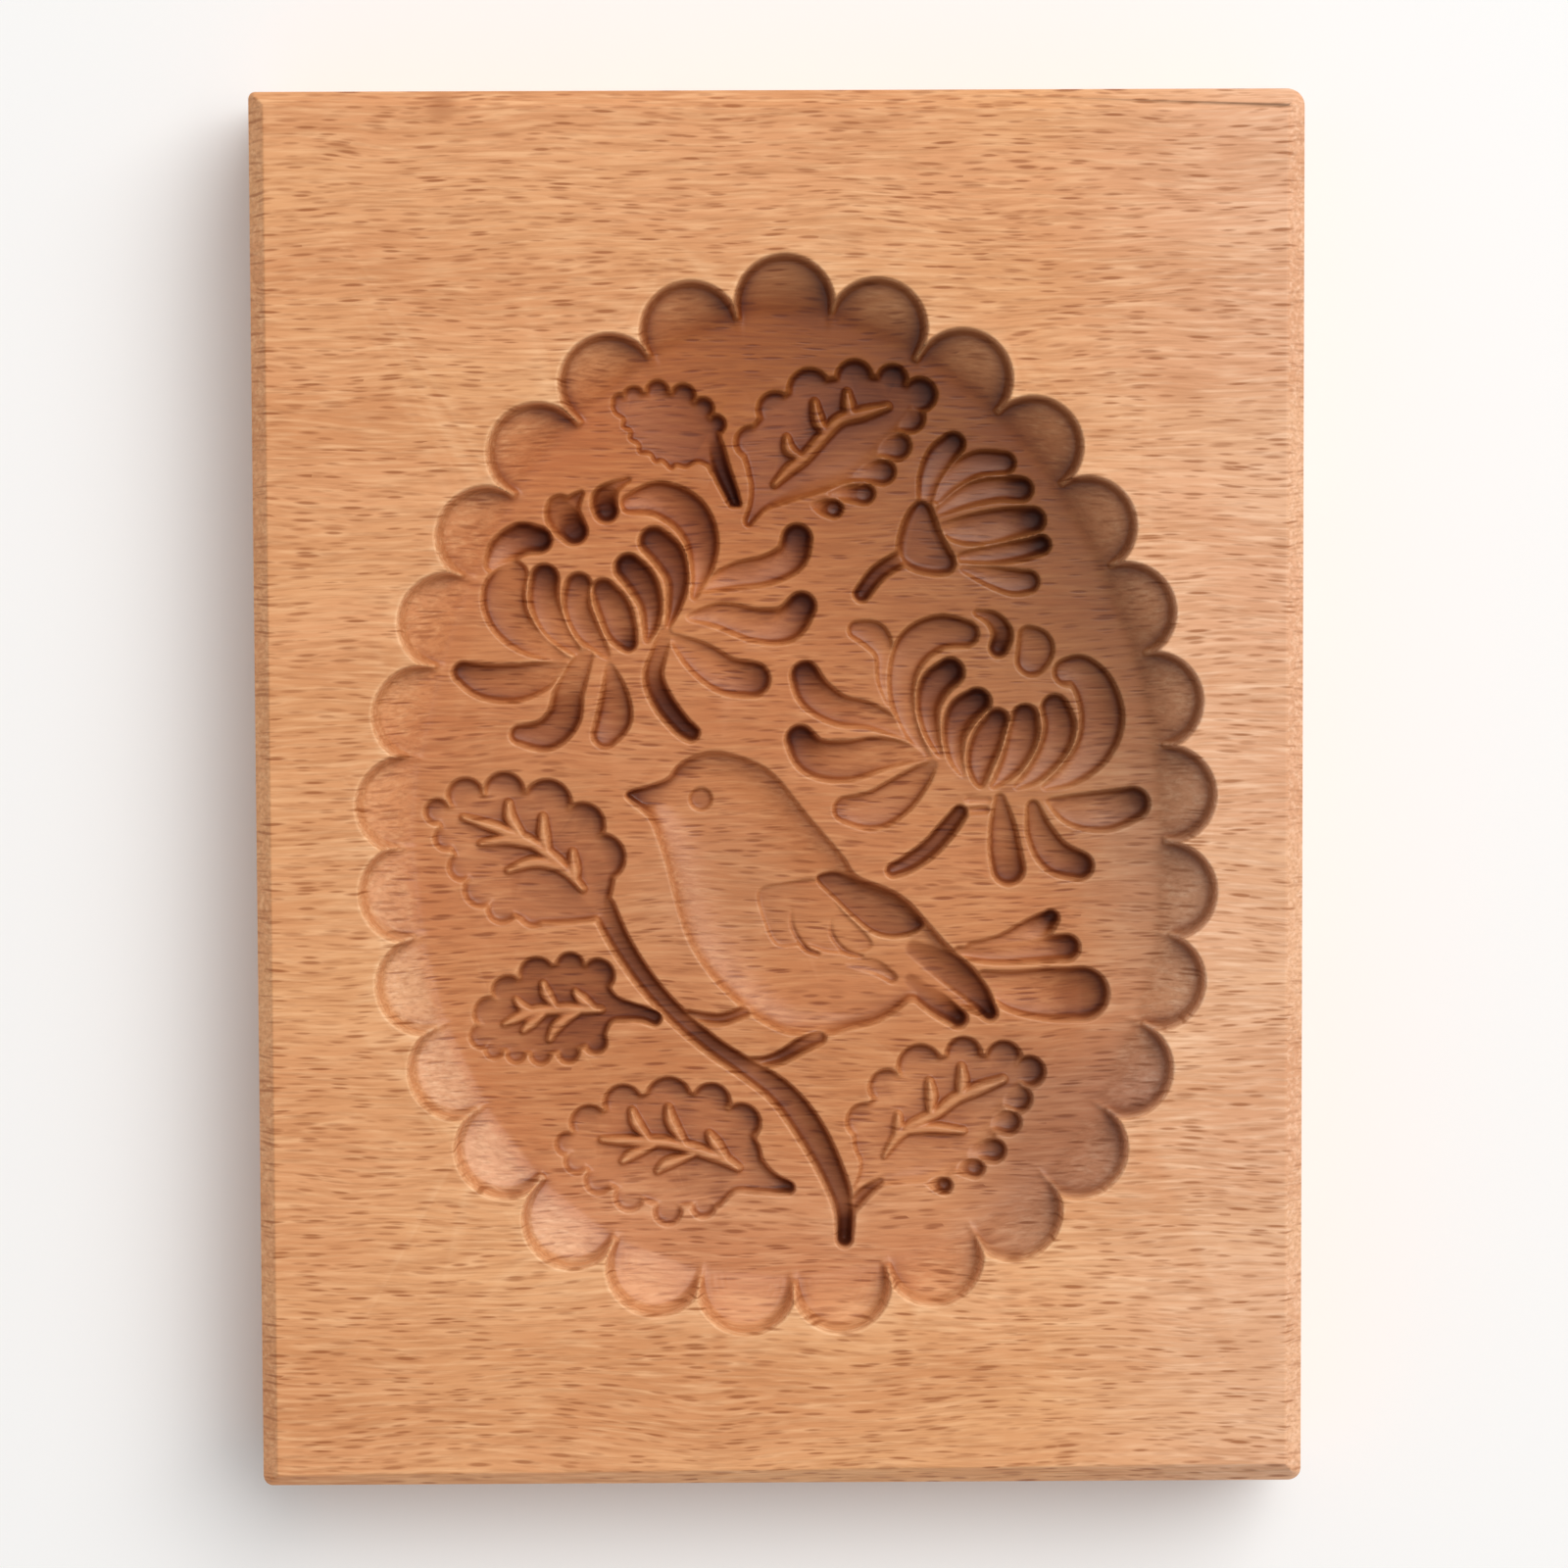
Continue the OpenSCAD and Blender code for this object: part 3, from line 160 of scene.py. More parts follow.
birdOutline = [
    (-17.5, 0, 0.3), (-14.9, 1, 0.7), (-12.8, 1.8, 1), (-11.6, 3.3, 1.3), (-9.6, 4.5, 3.4),
    (-7.3, 4.9, 4), (-4.8, 4.4, 4.4), (-1.9, 3.2, 5.2), (0, 1.6, 6), (1.6, -0.4, 6.4), (3.4, -2.7, 6.8),
    (5.4, -5, 6.8), (7.4, -7.4, 6), (8.9, -9.5, 2.4), (12.4, -11, 2), (14.7, -12.4, 1.6),
    (16.5, -14.4, 1.4), (18.9, -17.1, 1.4), (20.9, -19.1, 1.4), (23.2, -21.8, 1.2), (24.6, -24.2, 0.8),
    (24.4, -25.8, 0.5), (22.6, -25.3, 0.5), (20.6, -24.9, 0.6), (18.6, -25.4, 0.6), (17, -24.7, 0.7),
    (15, -23.8, 0.9), (13.3, -25, 1.3), (11, -26.3, 1.5), (8.2, -27, 1.6), (5.4, -27.7, 3.2),
    (2, -27.7, 3.6), (-0.3, -27.1, 4), (-3.1, -25.5, 4.8), (-4.8, -24.1, 5.6), (-7, -21.9, 6.4),
    (-9, -19.3, 6.8), (-10.4, -16.8, 6.8), (-11.5, -13.7, 6.8), (-12.2, -10.9, 6.4), (-12.9, -8.1, 6),
    (-13.8, -5.2, 5.2), (-14.7, -2.9, 3.2), (-15.8, -1.7, 0.7)]

birdEye = (-9, -0.7, 1.35, 0.65)      # x, y, radius and depth under the bird

wingCoverts = [
    (-2.7, -11.2, 0.5), (0.6, -10.2, 0.4), (4.6, -10, 0.4), (7.5, -13.5, 0.5), (10.6, -16.8, 0.5),
    (10.7, -18.2, 0.7), (8.6, -18.9, 0.6), (5.4, -18.6, 0.5), (2.6, -17.8, 0.5), (-0.4, -17.8, 0.5),
    (-1.9, -15.3, 0.5)]

# lines between the small feathers, and the tip of the lowest
wingFeathers = [
    [(1.3, -13.2, 0.3, 2.8), (1.5, -15.6, 0.45, 3.1), (2.9, -17.9, 0.4, 3.1), (4.4, -18.6, 0.3, 2.9)],
    [(5.9, -14.4, 0.3, 2.8), (6, -16.4, 0.45, 3.1), (7.4, -18.2, 0.45, 3.1), (9.4, -18.9, 0.3, 2.9)],
    [(12.9, -21.4, 0.9, 2.95), (10.8, -20.1, 1.3, 2.75), (8, -19.6, 1.1, 2.4)]]

wingBend = [
    (4.3, -9.5, 0.4), (6.6, -8.9, 0.9), (9.6, -9.9, 1.7), (13.3, -11.4, 2), (15.8, -13.6, 1.6),
    (16.7, -15.2, 0.8), (15.6, -16.3, 0.4), (13, -16.8, 0.3), (10.6, -16.2, 0.3), (8.2, -14.3, 0.3),
    (6, -12.1, 0.3), (4.4, -10.5, 0.3)]

# a leaf is a shallow hollow: an outline, round bites (x, y, radius) along its edge, deeper strokes,
# and veins left standing
topLeaf = dict(
    depth=1.9, fall=(0.045, 0.03), middle=(6, 41), shade=1.3,
    outline=[
        (-3.9, 31.2, 0.5), (-3.3, 33, 0.4), (-3.1, 35, 0.4), (-3.5, 37, 0.5), (-4, 40, 0.6),
        (-1.5, 43.5, 0.6), (2.5, 46.5, 0.6), (8.4, 47.6, 0.6), (13, 47.2, 0.6), (16, 45.5, 0.6),
        (15, 42.5, 1.2), (13, 39.5, 2.5), (10, 36.2, 3), (5, 34.4, 3), (1, 33.2, 1.5),
        (-1.4, 32.4, 0.6), (-3.2, 30.6, 0.5)],
    bites=[
        (-3, 40.1, 1.95), (-0.3, 43.8, 2.1), (3.6, 46, 2.5), (8.7, 47.3, 2.15), (13, 47.1, 1.8),
        (16.1, 45.4, 2)],
    strokes=[
        [(15, 42.8, 1.75, 2.3), (12.2, 42.2, 1.2, 1.5), (9.4, 41.6, 0.8, 1)],
        [(13.5, 39.6, 1.65, 2.2), (10.5, 39.6, 1.3, 1.4), (7, 39.7, 1.1, 1.2), (5.2, 40, 0.6, 0.8)],
        [(11.9, 36.7, 1.5, 2.1), (8.5, 36.9, 1.4, 1.3), (4.5, 36.8, 1.4, 1.4), (2, 36.2, 1, 1.3)],
        [(9.8, 34.2, 1.25, 1.9), (7.8, 34.3, 1, 0.8), (6.3, 34.3, 0.6, 0.3)],
        [(6.3, 32.5, 1.1, 1.7), (5.2, 32.7, 0.9, 0.7), (4.3, 32.9, 0.5, 0.3)]],
    veins=[
        [(-0.4, 35.3), (1.3, 37), (3.1, 38.4), (5.3, 40.9), (7.1, 42.6), (9.6, 43.3), (12.5, 44.1)],
        [(1, 40.6), (1.3, 39.2), (2.6, 38.4)],
        [(4.2, 44.6), (4.6, 42.5), (5.4, 41.2)],
        [(7.9, 45.7), (8.1, 44), (8.3, 43.2)]])
leftLeaf = dict(
    depth=1.6, fall=(0.05, 0.04), middle=(-29, -6), shade=1.6,
    outline=[
        (-39, -2.4, 0.5), (-35.8, -0.4, 0.6), (-31.5, 0.4, 0.6), (-26.8, 0, 0.6), (-22.6, -2.6, 0.6),
        (-19.4, -6.4, 0.6), (-18.9, -9.4, 0.7), (-19.4, -12, 0.7), (-19.6, -14, 0.7),
        (-21.3, -14.5, 0.7), (-25, -14.8, 0.6), (-28.8, -14.6, 0.5), (-32, -13, 0.5),
        (-34.4, -11.4, 0.5), (-36.6, -8.2, 0.5), (-38.2, -5, 0.5)],
    bites=[
        (-39.1, -1.9, 1.55), (-35.9, -0.15, 2.2), (-31.5, 0.25, 2.45), (-26.6, -1.05, 2.9),
        (-22.6, -3.55, 2.7), (-20.45, -7.25, 2.85), (-38.1, -4.9, 1.5), (-36.3, -8.2, 1.7),
        (-34.1, -10.8, 2.15), (-31.8, -13, 1.8), (-28.2, -13.4, 1.8)],
    strokes=[],
    veins=[
        [(-36.2, -2.6), (-32, -4), (-28, -5.8), (-25, -8.2), (-22.6, -10.9)],
        [(-31, -1), (-30.8, -2.8), (-29.4, -4.8)],
        [(-27.1, -2.6), (-27, -5), (-26.5, -6.6)],
        [(-23.7, -6.7), (-23.6, -8.4), (-23.4, -10)],
        [(-34.2, -5.6), (-31, -5.2), (-27.8, -6)],
        [(-31.1, -8.7), (-28.2, -7.8), (-25.6, -8.2), (-23.8, -9.6)]])
smallLeaf = dict(
    depth=1.5, fall=(0.05, 0.04), middle=(-26, -25), shade=10,
    outline=[
        (-34.6, -27.6, 0.5), (-33.6, -24.8, 0.5), (-31.2, -22, 0.5), (-28, -20, 0.5), (-24, -19.4, 0.5),
        (-20.8, -20.4, 0.5), (-18.9, -23, 0.6), (-17, -23.9, 0.5), (-15.2, -24.5, 0.4),
        (-13.6, -25.4, 0.4), (-14.2, -26.6, 0.4), (-15.8, -26.1, 0.4), (-17.6, -26, 0.4),
        (-19.4, -26.3, 0.5), (-20.4, -28.4, 0.5), (-21.8, -28.9, 0.5), (-24.6, -29.6, 0.4),
        (-27.4, -29.8, 0.4), (-30.6, -29.6, 0.4), (-33, -29, 0.4)],
    bites=[
        (-31.2, -22.6, 1.95), (-33.2, -25.1, 2.05), (-34.2, -27.7, 1.5), (-27.9, -20.7, 2.15),
        (-24.1, -19.8, 1.75), (-20.9, -20.8, 2), (-21.2, -28.5, 1.4), (-24.3, -29.6, 1.35),
        (-27.5, -29.8, 1.3), (-30.3, -29.7, 1.2), (-32.8, -29.2, 1.2)],
    strokes=[],
    veins=[
        [(-31.7, -26.4), (-30, -25.6), (-28, -24.9), (-24, -24.7), (-20.6, -24.8)],
        [(-30.3, -23.6), (-29.4, -24.6), (-28, -25)],
        [(-27.2, -21.8), (-26.8, -23), (-25.8, -24.4)],
        [(-23.5, -22.8), (-22.7, -23.7), (-21.5, -24.5)],
        [(-29.5, -27.2), (-28.6, -26.3), (-27.2, -25.3)],
        [(-26.5, -28.2), (-25.9, -27), (-24.8, -25.9), (-23.2, -25.1)]])
lowLeaf = dict(
    depth=1.6, fall=(0.045, 0.045), middle=(-13, -41), shade=1,
    outline=[
        (-24.8, -40.2, 0.5), (-22, -37.6, 0.5), (-18, -35.2, 0.5), (-12.9, -34.2, 0.5),
        (-8.1, -35, 0.5), (-4.4, -37.6, 0.5), (-2.5, -40.5, 0.6), (-1.8, -43, 0.6), (0.4, -44.6, 0.5),
        (1.6, -45.6, 0.4), (0.4, -46.2, 0.4), (-2.4, -46, 0.5), (-5.2, -45.9, 0.5), (-7.2, -47.6, 0.5),
        (-9.2, -47.4, 0.5), (-13.2, -47.6, 0.5), (-17.8, -46, 0.5), (-21.6, -43.9, 0.5)],
    bites=[
        (-24.5, -40.2, 1.45), (-22, -37.9, 2.25), (-18.1, -35.6, 2.3), (-12.9, -35.2, 2.75),
        (-8, -35.5, 2.3), (-4.6, -37.9, 2.35), (-8.9, -47.4, 1.5), (-13, -48, 1.7), (-17.4, -46.3, 1.8),
        (-20.9, -44.4, 1.7), (-23.4, -42.2, 1.5)],
    strokes=[
        [(0.8, -45.4, 0.8, 2.2), (-1.5, -44.4, 1.1, 1.9), (-3.2, -42.6, 1.2, 1.8)]],
    veins=[
        [(-20.6, -39.8), (-17, -40), (-13, -40.2), (-10, -41), (-7, -42), (-4.9, -43.2)],
        [(-17.1, -36.5), (-16.6, -38), (-15.2, -39.8)],
        [(-12.9, -36.2), (-12.5, -38), (-10.9, -40.6)],
        [(-8.2, -39.3), (-7.5, -40.5), (-6.2, -42.2)],
        [(-18.2, -42.3), (-17, -41.5), (-14.6, -40.5)],
        [(-14.2, -43.5), (-13, -42.6), (-10, -41.5)]])
rightLeaf = dict(
    depth=1.5, fall=(0.05, 0.035), middle=(18, -37), shade=0.9,
    outline=[
        (8.8, -37.4, 0.5), (12.2, -33.6, 0.5), (16, -31, 0.5), (21, -30, 0.5), (25.4, -30.6, 0.5),
        (28.6, -32.2, 0.6), (27, -35, 1.5), (25.4, -38, 2.4), (23.6, -41, 3), (21, -43.2, 3),
        (17.6, -44.6, 2.2), (13.6, -44.9, 1.5), (11, -45.4, 0.6), (8.6, -47.2, 0.5), (7.9, -46.4, 0.4),
        (8.8, -44.2, 0.4), (9.1, -42.4, 0.4), (8.4, -40.4, 0.4)],
    bites=[
        (9.6, -37.7, 2.15), (12.2, -33.8, 2.15), (16, -31.5, 2.7), (21, -30.1, 2.15), (25.6, -30.6, 2.15),
        (28.5, -32.1, 1.9)],
    strokes=[
        [(27.2, -35.2, 1.7, 2.1), (24.8, -35, 1.3, 1.2), (22, -35.4, 0.9, 1)],
        [(26.2, -37.9, 1.45, 2), (23.2, -37.6, 1.2, 1.1), (19.6, -37.2, 1, 1.1), (18, -37.6, 0.7, 0.9)],
        [(24.5, -41.2, 1.4, 2), (21.3, -40.9, 1.3, 1.1), (17, -40.3, 1.2, 1.2), (14, -41, 1, 1)],
        [(22.3, -43.2, 1.15, 1.8), (20.8, -43, 0.9, 0.8), (19.4, -42.9, 0.6, 0.3)],
        [(18.8, -45.2, 0.95, 1.7), (17.8, -44.9, 0.8, 0.6), (17, -44.6, 0.5, 0.3)]],
    veins=[
        [(11.9, -41.8), (13.4, -39.6), (15.6, -38), (18, -36.8), (20.2, -35.2), (22.6, -34.2),
         (25.6, -33.1)],
        [(13.5, -37), (13.5, -38.4), (13.3, -39.8)],
        [(17.1, -33.2), (17.3, -35), (17.2, -37)],
        [(20.8, -31.6), (20.9, -33.4), (20.6, -34.8)],
        [(14.6, -39), (17, -38.6), (21, -39)]])
leaves = [topLeaf, leftLeaf, smallLeaf, lowLeaf, rightLeaf]

# the comb-edged leaf at the top left and its stalk
combLeaf = dict(
    depth=1.6, fall=(0.09, 0.04), middle=(-11, 42), shade=3,
    outline=[
        (-18.8, 44.5, 0.4), (-17.4, 45.4, 0.5), (-13.8, 45.9, 0.5), (-10.8, 45.4, 0.5), (-8.6, 44, 0.5),
        (-7, 42, 0.5), (-6.5, 40.4, 0.5), (-6.6, 38.8, 0.5), (-6, 37, 0.5), (-7.4, 36.4, 0.5),
        (-8, 37.4, 0.4), (-9.2, 37.9, 0.35), (-10.4, 37.3, 0.35), (-11.6, 37.5, 0.35),
        (-12.2, 37.1, 0.35), (-13.2, 38, 0.35), (-14, 37.9, 0.35), (-14.6, 38.8, 0.35),
        (-15.8, 39, 0.35), (-15.9, 39.9, 0.35), (-16.9, 40.5, 0.35), (-16.8, 41.4, 0.35),
        (-17.7, 41.9, 0.35), (-17.6, 42.8, 0.35), (-18.5, 43.4, 0.35)],
    bites=[
        (-17.9, 44.8, 0.95), (-16.4, 45.3, 1.25), (-13.7, 45.8, 1.4), (-10.8, 45.3, 1.5),
        (-8.6, 43.9, 1.35), (-7.1, 42.1, 1.2)],
    strokes=[
        [(-4.8, 32.8, 0.6, 2.2), (-5.4, 34.4, 0.85, 2.7), (-6.4, 36.8, 1.05, 2.6), (-7.2, 39.4, 1.1, 2),
         (-7.8, 41, 1, 1.5)]],
    veins=[])

# painted shade: how dark each kind of figure is painted at shadeDepth under the floor, where 0 is as the
# floor and 1 or more the darkest, and each leaf has its own value
shadeDepth = 3
paintedFigureShade = dict(
    petals=1.5,
    branch=1.5,
    bird=0.05,
    wing=0.15,
    wingBend=0.26,
    tail=1.5,
)

# how deep the outlined figures are cut under the floor, in mm
figureDepth = dict(
    budCup=2,
    bird=2.3,
    wing=2.75,
    wingBend=3.5,
)

# figures are read on the face, and the camera sees the floor below it a little smaller and higher
figureShift = dict(scale=1.0093, x=-0.01, y=-0.36)


def smoothRows(rows, steps, closed=False):
    p = np.array(rows, float)
    n = len(p)
    out = []
    for i in range(n if closed else n - 1):
        if closed:
            a, b, c, d = p[i - 1], p[i], p[(i + 1) % n], p[(i + 2) % n]
        else:
            a, b, c, d = p[max(i - 1, 0)], p[i], p[i + 1], p[min(i + 2, n - 1)]
        for k in range(steps):
            t = k / steps
            bend = (2 * a - 5 * b + 4 * c - d) * t * t
            q = 2 * b + (c - a) * t + bend + (3 * b - a - 3 * c + d) * t ** 3
            out.append(0.5 * q)
    if not closed:
        out.append(p[-1])
    return np.array(out)


def onFloor(rows):
    p = np.array(rows, float)
    p[:, :2] *= figureShift['scale']
    p[:, 0] += figureShift['x']
    p[:, 1] += figureShift['y']
    return p


def segments(p, closed=False):
    return zip(p, np.roll(p, -1, axis=0)) if closed else zip(p[:-1], p[1:])


def nearest(p, X, Y, closed=False):
    # distance to a line of points, and the last column's value at the nearest spot
    best = np.full(X.shape, 1e9)
    value = np.zeros(X.shape)
    for a, b in segments(p, closed):
        dx, dy = b[0] - a[0], b[1] - a[1]
        t = np.clip(((X - a[0]) * dx + (Y - a[1]) * dy) / (dx * dx + dy * dy + 1e-12), 0, 1)
        dist = np.hypot(X - a[0] - t * dx, Y - a[1] - t * dy)
        near = dist < best
        best[near] = dist[near]
        value[near] = (a[-1] + t * (b[-1] - a[-1]))[near]
    return best, value


def insideOf(p, X, Y):
    odd = np.zeros(X.shape, bool)
    for a, b in segments(p, True):
        rows = (Y[:, 0] > min(a[1], b[1])) & (Y[:, 0] <= max(a[1], b[1]))
        if rows.any():
            odd[rows] ^= X[rows] < a[0] + (Y[rows] - a[1]) * (b[0] - a[0]) / (b[1] - a[1])
    return odd


def wallCurve(share):
    # steep at the top of the wall, rounded into the bottom
    return np.sqrt(1 - (1 - np.clip(share, 0, 1)) ** 2)


class Carving:
    def __init__(self, step):
        self.step = step
        self.xs = np.arange(-52, 52 + step / 2, step)
        self.ys = np.arange(-66, 66 + step / 2, step)
        self.depth = np.zeros((len(self.ys), len(self.xs)))
        self.shade = np.zeros_like(self.depth)      # painted shade: how much darker than the floor the cut wood is painted

    def window(self, p, reach):
        lo, hi = p[:, :2].min(0) - reach, p[:, :2].max(0) + reach
        i = ((lo[0] - self.xs[0]) / self.step, (hi[0] - self.xs[0]) / self.step + 2)
        j = ((lo[1] - self.ys[0]) / self.step, (hi[1] - self.ys[0]) / self.step + 2)
        i = np.clip(i, 0, len(self.xs)).astype(int)
        j = np.clip(j, 0, len(self.ys)).astype(int)
        X, Y = np.meshgrid(self.xs[i[0]:i[1]], self.ys[j[0]:j[1]])
        return (slice(j[0], j[1]), slice(i[0], i[1])), X, Y

    def deepen(self, where, depth, shade=0.0):
        part, paintedShadeTone = self.depth[where], self.shade[where]
        cut = depth > part
        part[cut] = depth[cut]
        paintedShadeTone[cut] = np.clip(shade * ((depth[cut] - hollow['floorDepth']) / shadeDepth) ** 3, 0, 1)


# a gouge's cut has a steep wall at each side and a slightly hollow bottom, in mm
gougeShape = dict(
    widestWall=0.65,      # as a share of the half width
    wall=0.24,            # width of the wall
    wallGrowth=0.17,      # and more of it for each mm of depth
    wallPart=0.84,        # of the depth that the wall makes
    bottomPart=0.16,      # and that the hollow bottom makes
)


def gougeDepth(p, X, Y):
    best = np.zeros(X.shape)
    for a, b in segments(p):
        dx, dy = b[0] - a[0], b[1] - a[1]
        t = np.clip(((X - a[0]) * dx + (Y - a[1]) * dy) / (dx * dx + dy * dy + 1e-12), 0, 1)
        w = a[2] + t * (b[2] - a[2])
        d = a[3] + t * (b[3] - a[3])
        r = np.clip(np.hypot(X - a[0] - t * dx, Y - a[1] - t * dy) / w, 0, 1)
        wall = np.minimum(gougeShape['widestWall'] * w, gougeShape['wall'] + gougeShape['wallGrowth'] * d)
        side = gougeShape['wallPart'] * wallCurve(w * (1 - r) / wall)
        cut = side + gougeShape['bottomPart'] * (1 - r * r)
        np.maximum(best, d * cut * (r < 1), out=best)
    return best


def gouge(c, rows, base, shade):
    p = onFloor(smoothRows(rows, 8))
    p[:, 2] = np.maximum(p[:, 2], 0.15)
    where, X, Y = c.window(p, p[:, 2].max())
    d = gougeDepth(p, X, Y)
    c.deepen(where, np.where(d > 0, base + d, 0), shade)


def outlineShare(outline, X, Y):
    p = onFloor(smoothRows(outline, 6, True))
    dist, wall = nearest(p, X, Y, True)
    return np.where(insideOf(p, X, Y), dist / wall, 0)


def sink(c, outline, base, depth, shade, roundness=0.5):
    p = onFloor(outline)
    where, X, Y = c.window(p, 2)
    share = outlineShare(outline, X, Y)
    d = depth * wallCurve(share) ** (2 * roundness)
    c.deepen(where, np.where(share > 0, base + d, 0), shade)


leafCut = dict(
    biteWall=0.75,
    leastDepth=0.5,
    veinTip=0.26,         # half width of a vein at its ends
    veinWidth=0.48,       # and between them
    veinTop=0.22,         # under the floor
    veinRound=0.3,        # more than that at its edge
    veinFoot=0.52,        # where its side starts
    veinSlope=1.6,
)


def cutLeaf(c, leaf, base):
    bites = onFloor(leaf['bites'])
    where, X, Y = c.window(np.vstack([onFloor(leaf['outline'])[:, :2], bites[:, :2]]), 3.5)
    share = outlineShare(leaf['outline'], X, Y)
    for x, y, r in bites:
        share = np.maximum(share, (r - np.hypot(X - x, Y - y)) / leafCut['biteWall'])
    mx, my = leaf['middle']
    floor = leaf['depth'] + leaf['fall'][0] * (X - mx) + leaf['fall'][1] * (Y - my)
    floor = np.maximum(floor, leafCut['leastDepth'])
    d = np.where(share > 0, floor * wallCurve(share), 0)
    for rows in leaf['strokes']:
        p = onFloor(smoothRows(rows, 8))
        np.maximum(d, gougeDepth(p, X, Y), out=d)
    for rows in leaf['veins']:
        ends = (rows[0], rows[-1])
        widths = [leafCut['veinTip'] if r in ends else leafCut['veinWidth'] for r in rows]
        p = onFloor(smoothRows([tuple(r) + (w,) for r, w in zip(rows, widths)], 6))
        dist, halfWidth = nearest(p, X, Y)
        r = dist / halfWidth
        crest = leafCut['veinTop'] + leafCut['veinRound'] * r ** 3
        top = np.where(r < 1, crest, leafCut['veinFoot'] + (r - 1) * leafCut['veinSlope'])
        np.minimum(d, top, out=d)
    c.deepen(where, np.where(d > 0, base + d, 0), leaf['shade'])


def cutHollow(c):
    s = np.array(scoopCentres, float)
    R, floor, start = hollow['scoopRadius'], hollow['floorDepth'], hollow['floorStart']

    def bottom(inward):
        # a slope from the rim that runs out softly into the floor
        fall = (floor - hollow['rimDepth']) / (R + start)
        below = (inward - start) * fall
        soft = hollow['floorBlend']
        return floor - 0.5 * (np.sqrt(below * below + soft * soft) - below)

    ahead, behind = np.roll(s, -1, axis=0), np.roll(s, 1, axis=0)
    span = ahead - s
    length = np.hypot(span[:, 0], span[:, 1])
    out = np.stack([-span[:, 1], span[:, 0]], 1) / length[:, None]
    rise = np.sqrt(np.maximum(0.01, R * R - length ** 2 / 4))
    p = np.column_stack([(s + ahead) / 2 + out * rise[:, None], rise])
    where, X, Y = c.window(p, 1)
    dist, rise = nearest(p, X, Y, True)
    ridge = bottom(dist - rise) * np.interp(dist / hollow['pointWall'], (0, 0.4, 1), (0, 0.46, 1))
    c.deepen(where, np.where(insideOf(p, X, Y), ridge, 0))
    span = ahead - behind
    out = np.stack([-span[:, 1], span[:, 0]], 1) / np.hypot(span[:, 0], span[:, 1])[:, None]
    for q, o in zip(s, out):
        where, X, Y = c.window(q[None, :], 8)
        inward = -(X - q[0]) * o[0] - (Y - q[1]) * o[1]
        across = (X - q[0]) * o[1] - (Y - q[1]) * o[0]
        e = R - np.where(inward < 0, np.hypot(inward, across), np.abs(across))
        share = 1 - np.clip(e / hollow['scoopWall'], 0, 1)
        d = bottom(inward) * (1 - share ** 2.2) ** 0.4545
        marks = np.interp(e, (0.3, 1, 3.6, 5), (0, 1, 0.7, 0)) * np.interp(inward, (-1, 2.5), (1, 0))
        d += hollow['toolMark'] * marks * np.sin(e * hollow['markTurn'] + hollow['markSlant'] * across)
        c.deepen(where, np.where((inward < 7) & (e > 0), d, 0))


def carve(step):
    c = Carving(step)
    cutHollow(c)
    base = hollow['floorDepth']
    for rows in leftFlowerPetals + rightFlowerPetals + budStrokes:
        gouge(c, rows, base, paintedFigureShade['petals'])
    for rows in branchStrokes:
        gouge(c, rows, base, paintedFigureShade['branch'])
    sink(c, budCup, base, figureDepth['budCup'], 0.3 * paintedFigureShade['petals'])
    for leaf in leaves + [combLeaf]:
        cutLeaf(c, leaf, base)
    sink(c, birdOutline, base, figureDepth['bird'], paintedFigureShade['bird'], 0.4)
    sink(c, wingCoverts, base, figureDepth['wing'], paintedFigureShade['wing'])
    for rows in wingFeathers:
        gouge(c, rows, base, paintedFigureShade['wing'])
    sink(c, wingBend, base, figureDepth['wingBend'], paintedFigureShade['wingBend'])
    x, y, r, d = onFloor([birdEye])[0]
    where, X, Y = c.window(np.array([[x, y]]), r)
    dish = np.clip(1 - np.hypot(X - x, Y - y) / r, 0, 1)
    eye = base + figureDepth['bird'] + d * wallCurve(dish / 0.35)
    c.deepen(where, np.where(dish > 0, eye, 0), paintedFigureShade['wing'])
    for rows in birdStrokes:
        gouge(c, rows, base, paintedFigureShade['tail'])
    return c


def softened(z, sigma):
    # rounds the arrises as sanding does, sigma in grid steps
    reach = int(3 * sigma + 1)
    w = np.exp(-0.5 * (np.arange(-reach, reach + 1) / sigma) ** 2)
    w /= w.sum()
    for axis in (0, 1):
        pad = [(reach, reach) if a == axis else (0, 0) for a in (0, 1)]
        e = np.pad(z, pad, mode='edge')
        n = z.shape[axis]
        z = sum(w[k] * (e[k:k + n] if axis == 0 else e[:, k:k + n]) for k in range(len(w)))
    return z


board = dict(
    halfWidth=60,
    halfLength=80,
    thickness=20,
    cornerRadius=((0.8, 1.1), (2, 1.5)),   # left top and bottom, right top and bottom
    sideBevel=(1.9, 2.1),      # left and right
    topBevel=(1.6, 2.7),       # at the left end and at the right end
    bottomBevel=(1.5, 2.5),
    backBevel=0.8,
    bevelRound=0.12,           # where the face turns over into its bevel
    edgeRound=0.14,
    arrisRound=0.14,           # how far the carving's arrises are softened
    faceBelow=0.002,           # the solid's face, so that the board stays inside its box
    sideRows=(14, 8),          # heights of rows of points down the sides
    fineHalfWidth=51,          # the grid is fine over the carving
    fineHalfLength=64,
    gridStep=0.2,
    quickGridStep=0.5,
    carvingStep=0.1,
    quickCarvingStep=0.4,
    triangles=192000,
)


def boardLines(half, fine, step):
    # close together over the carving, wider on the rims and close again at the bevel
    inner = np.arange(-fine, fine + step / 2, step)
    rim = np.arange(fine + 1.2, half - 4, 1.2)
    edge = np.concatenate([np.arange(half - 4, half - 0.3, 0.25), [half - board['edgeRound']]])
    outer = np.concatenate([rim, edge])
    return np.concatenate([-outer[::-1], inner, outer])


def cornerAt(x, y):
    left, right = board['cornerRadius']
    return np.where(x > 0, np.where(y > 0, *right), np.where(y > 0, *left))


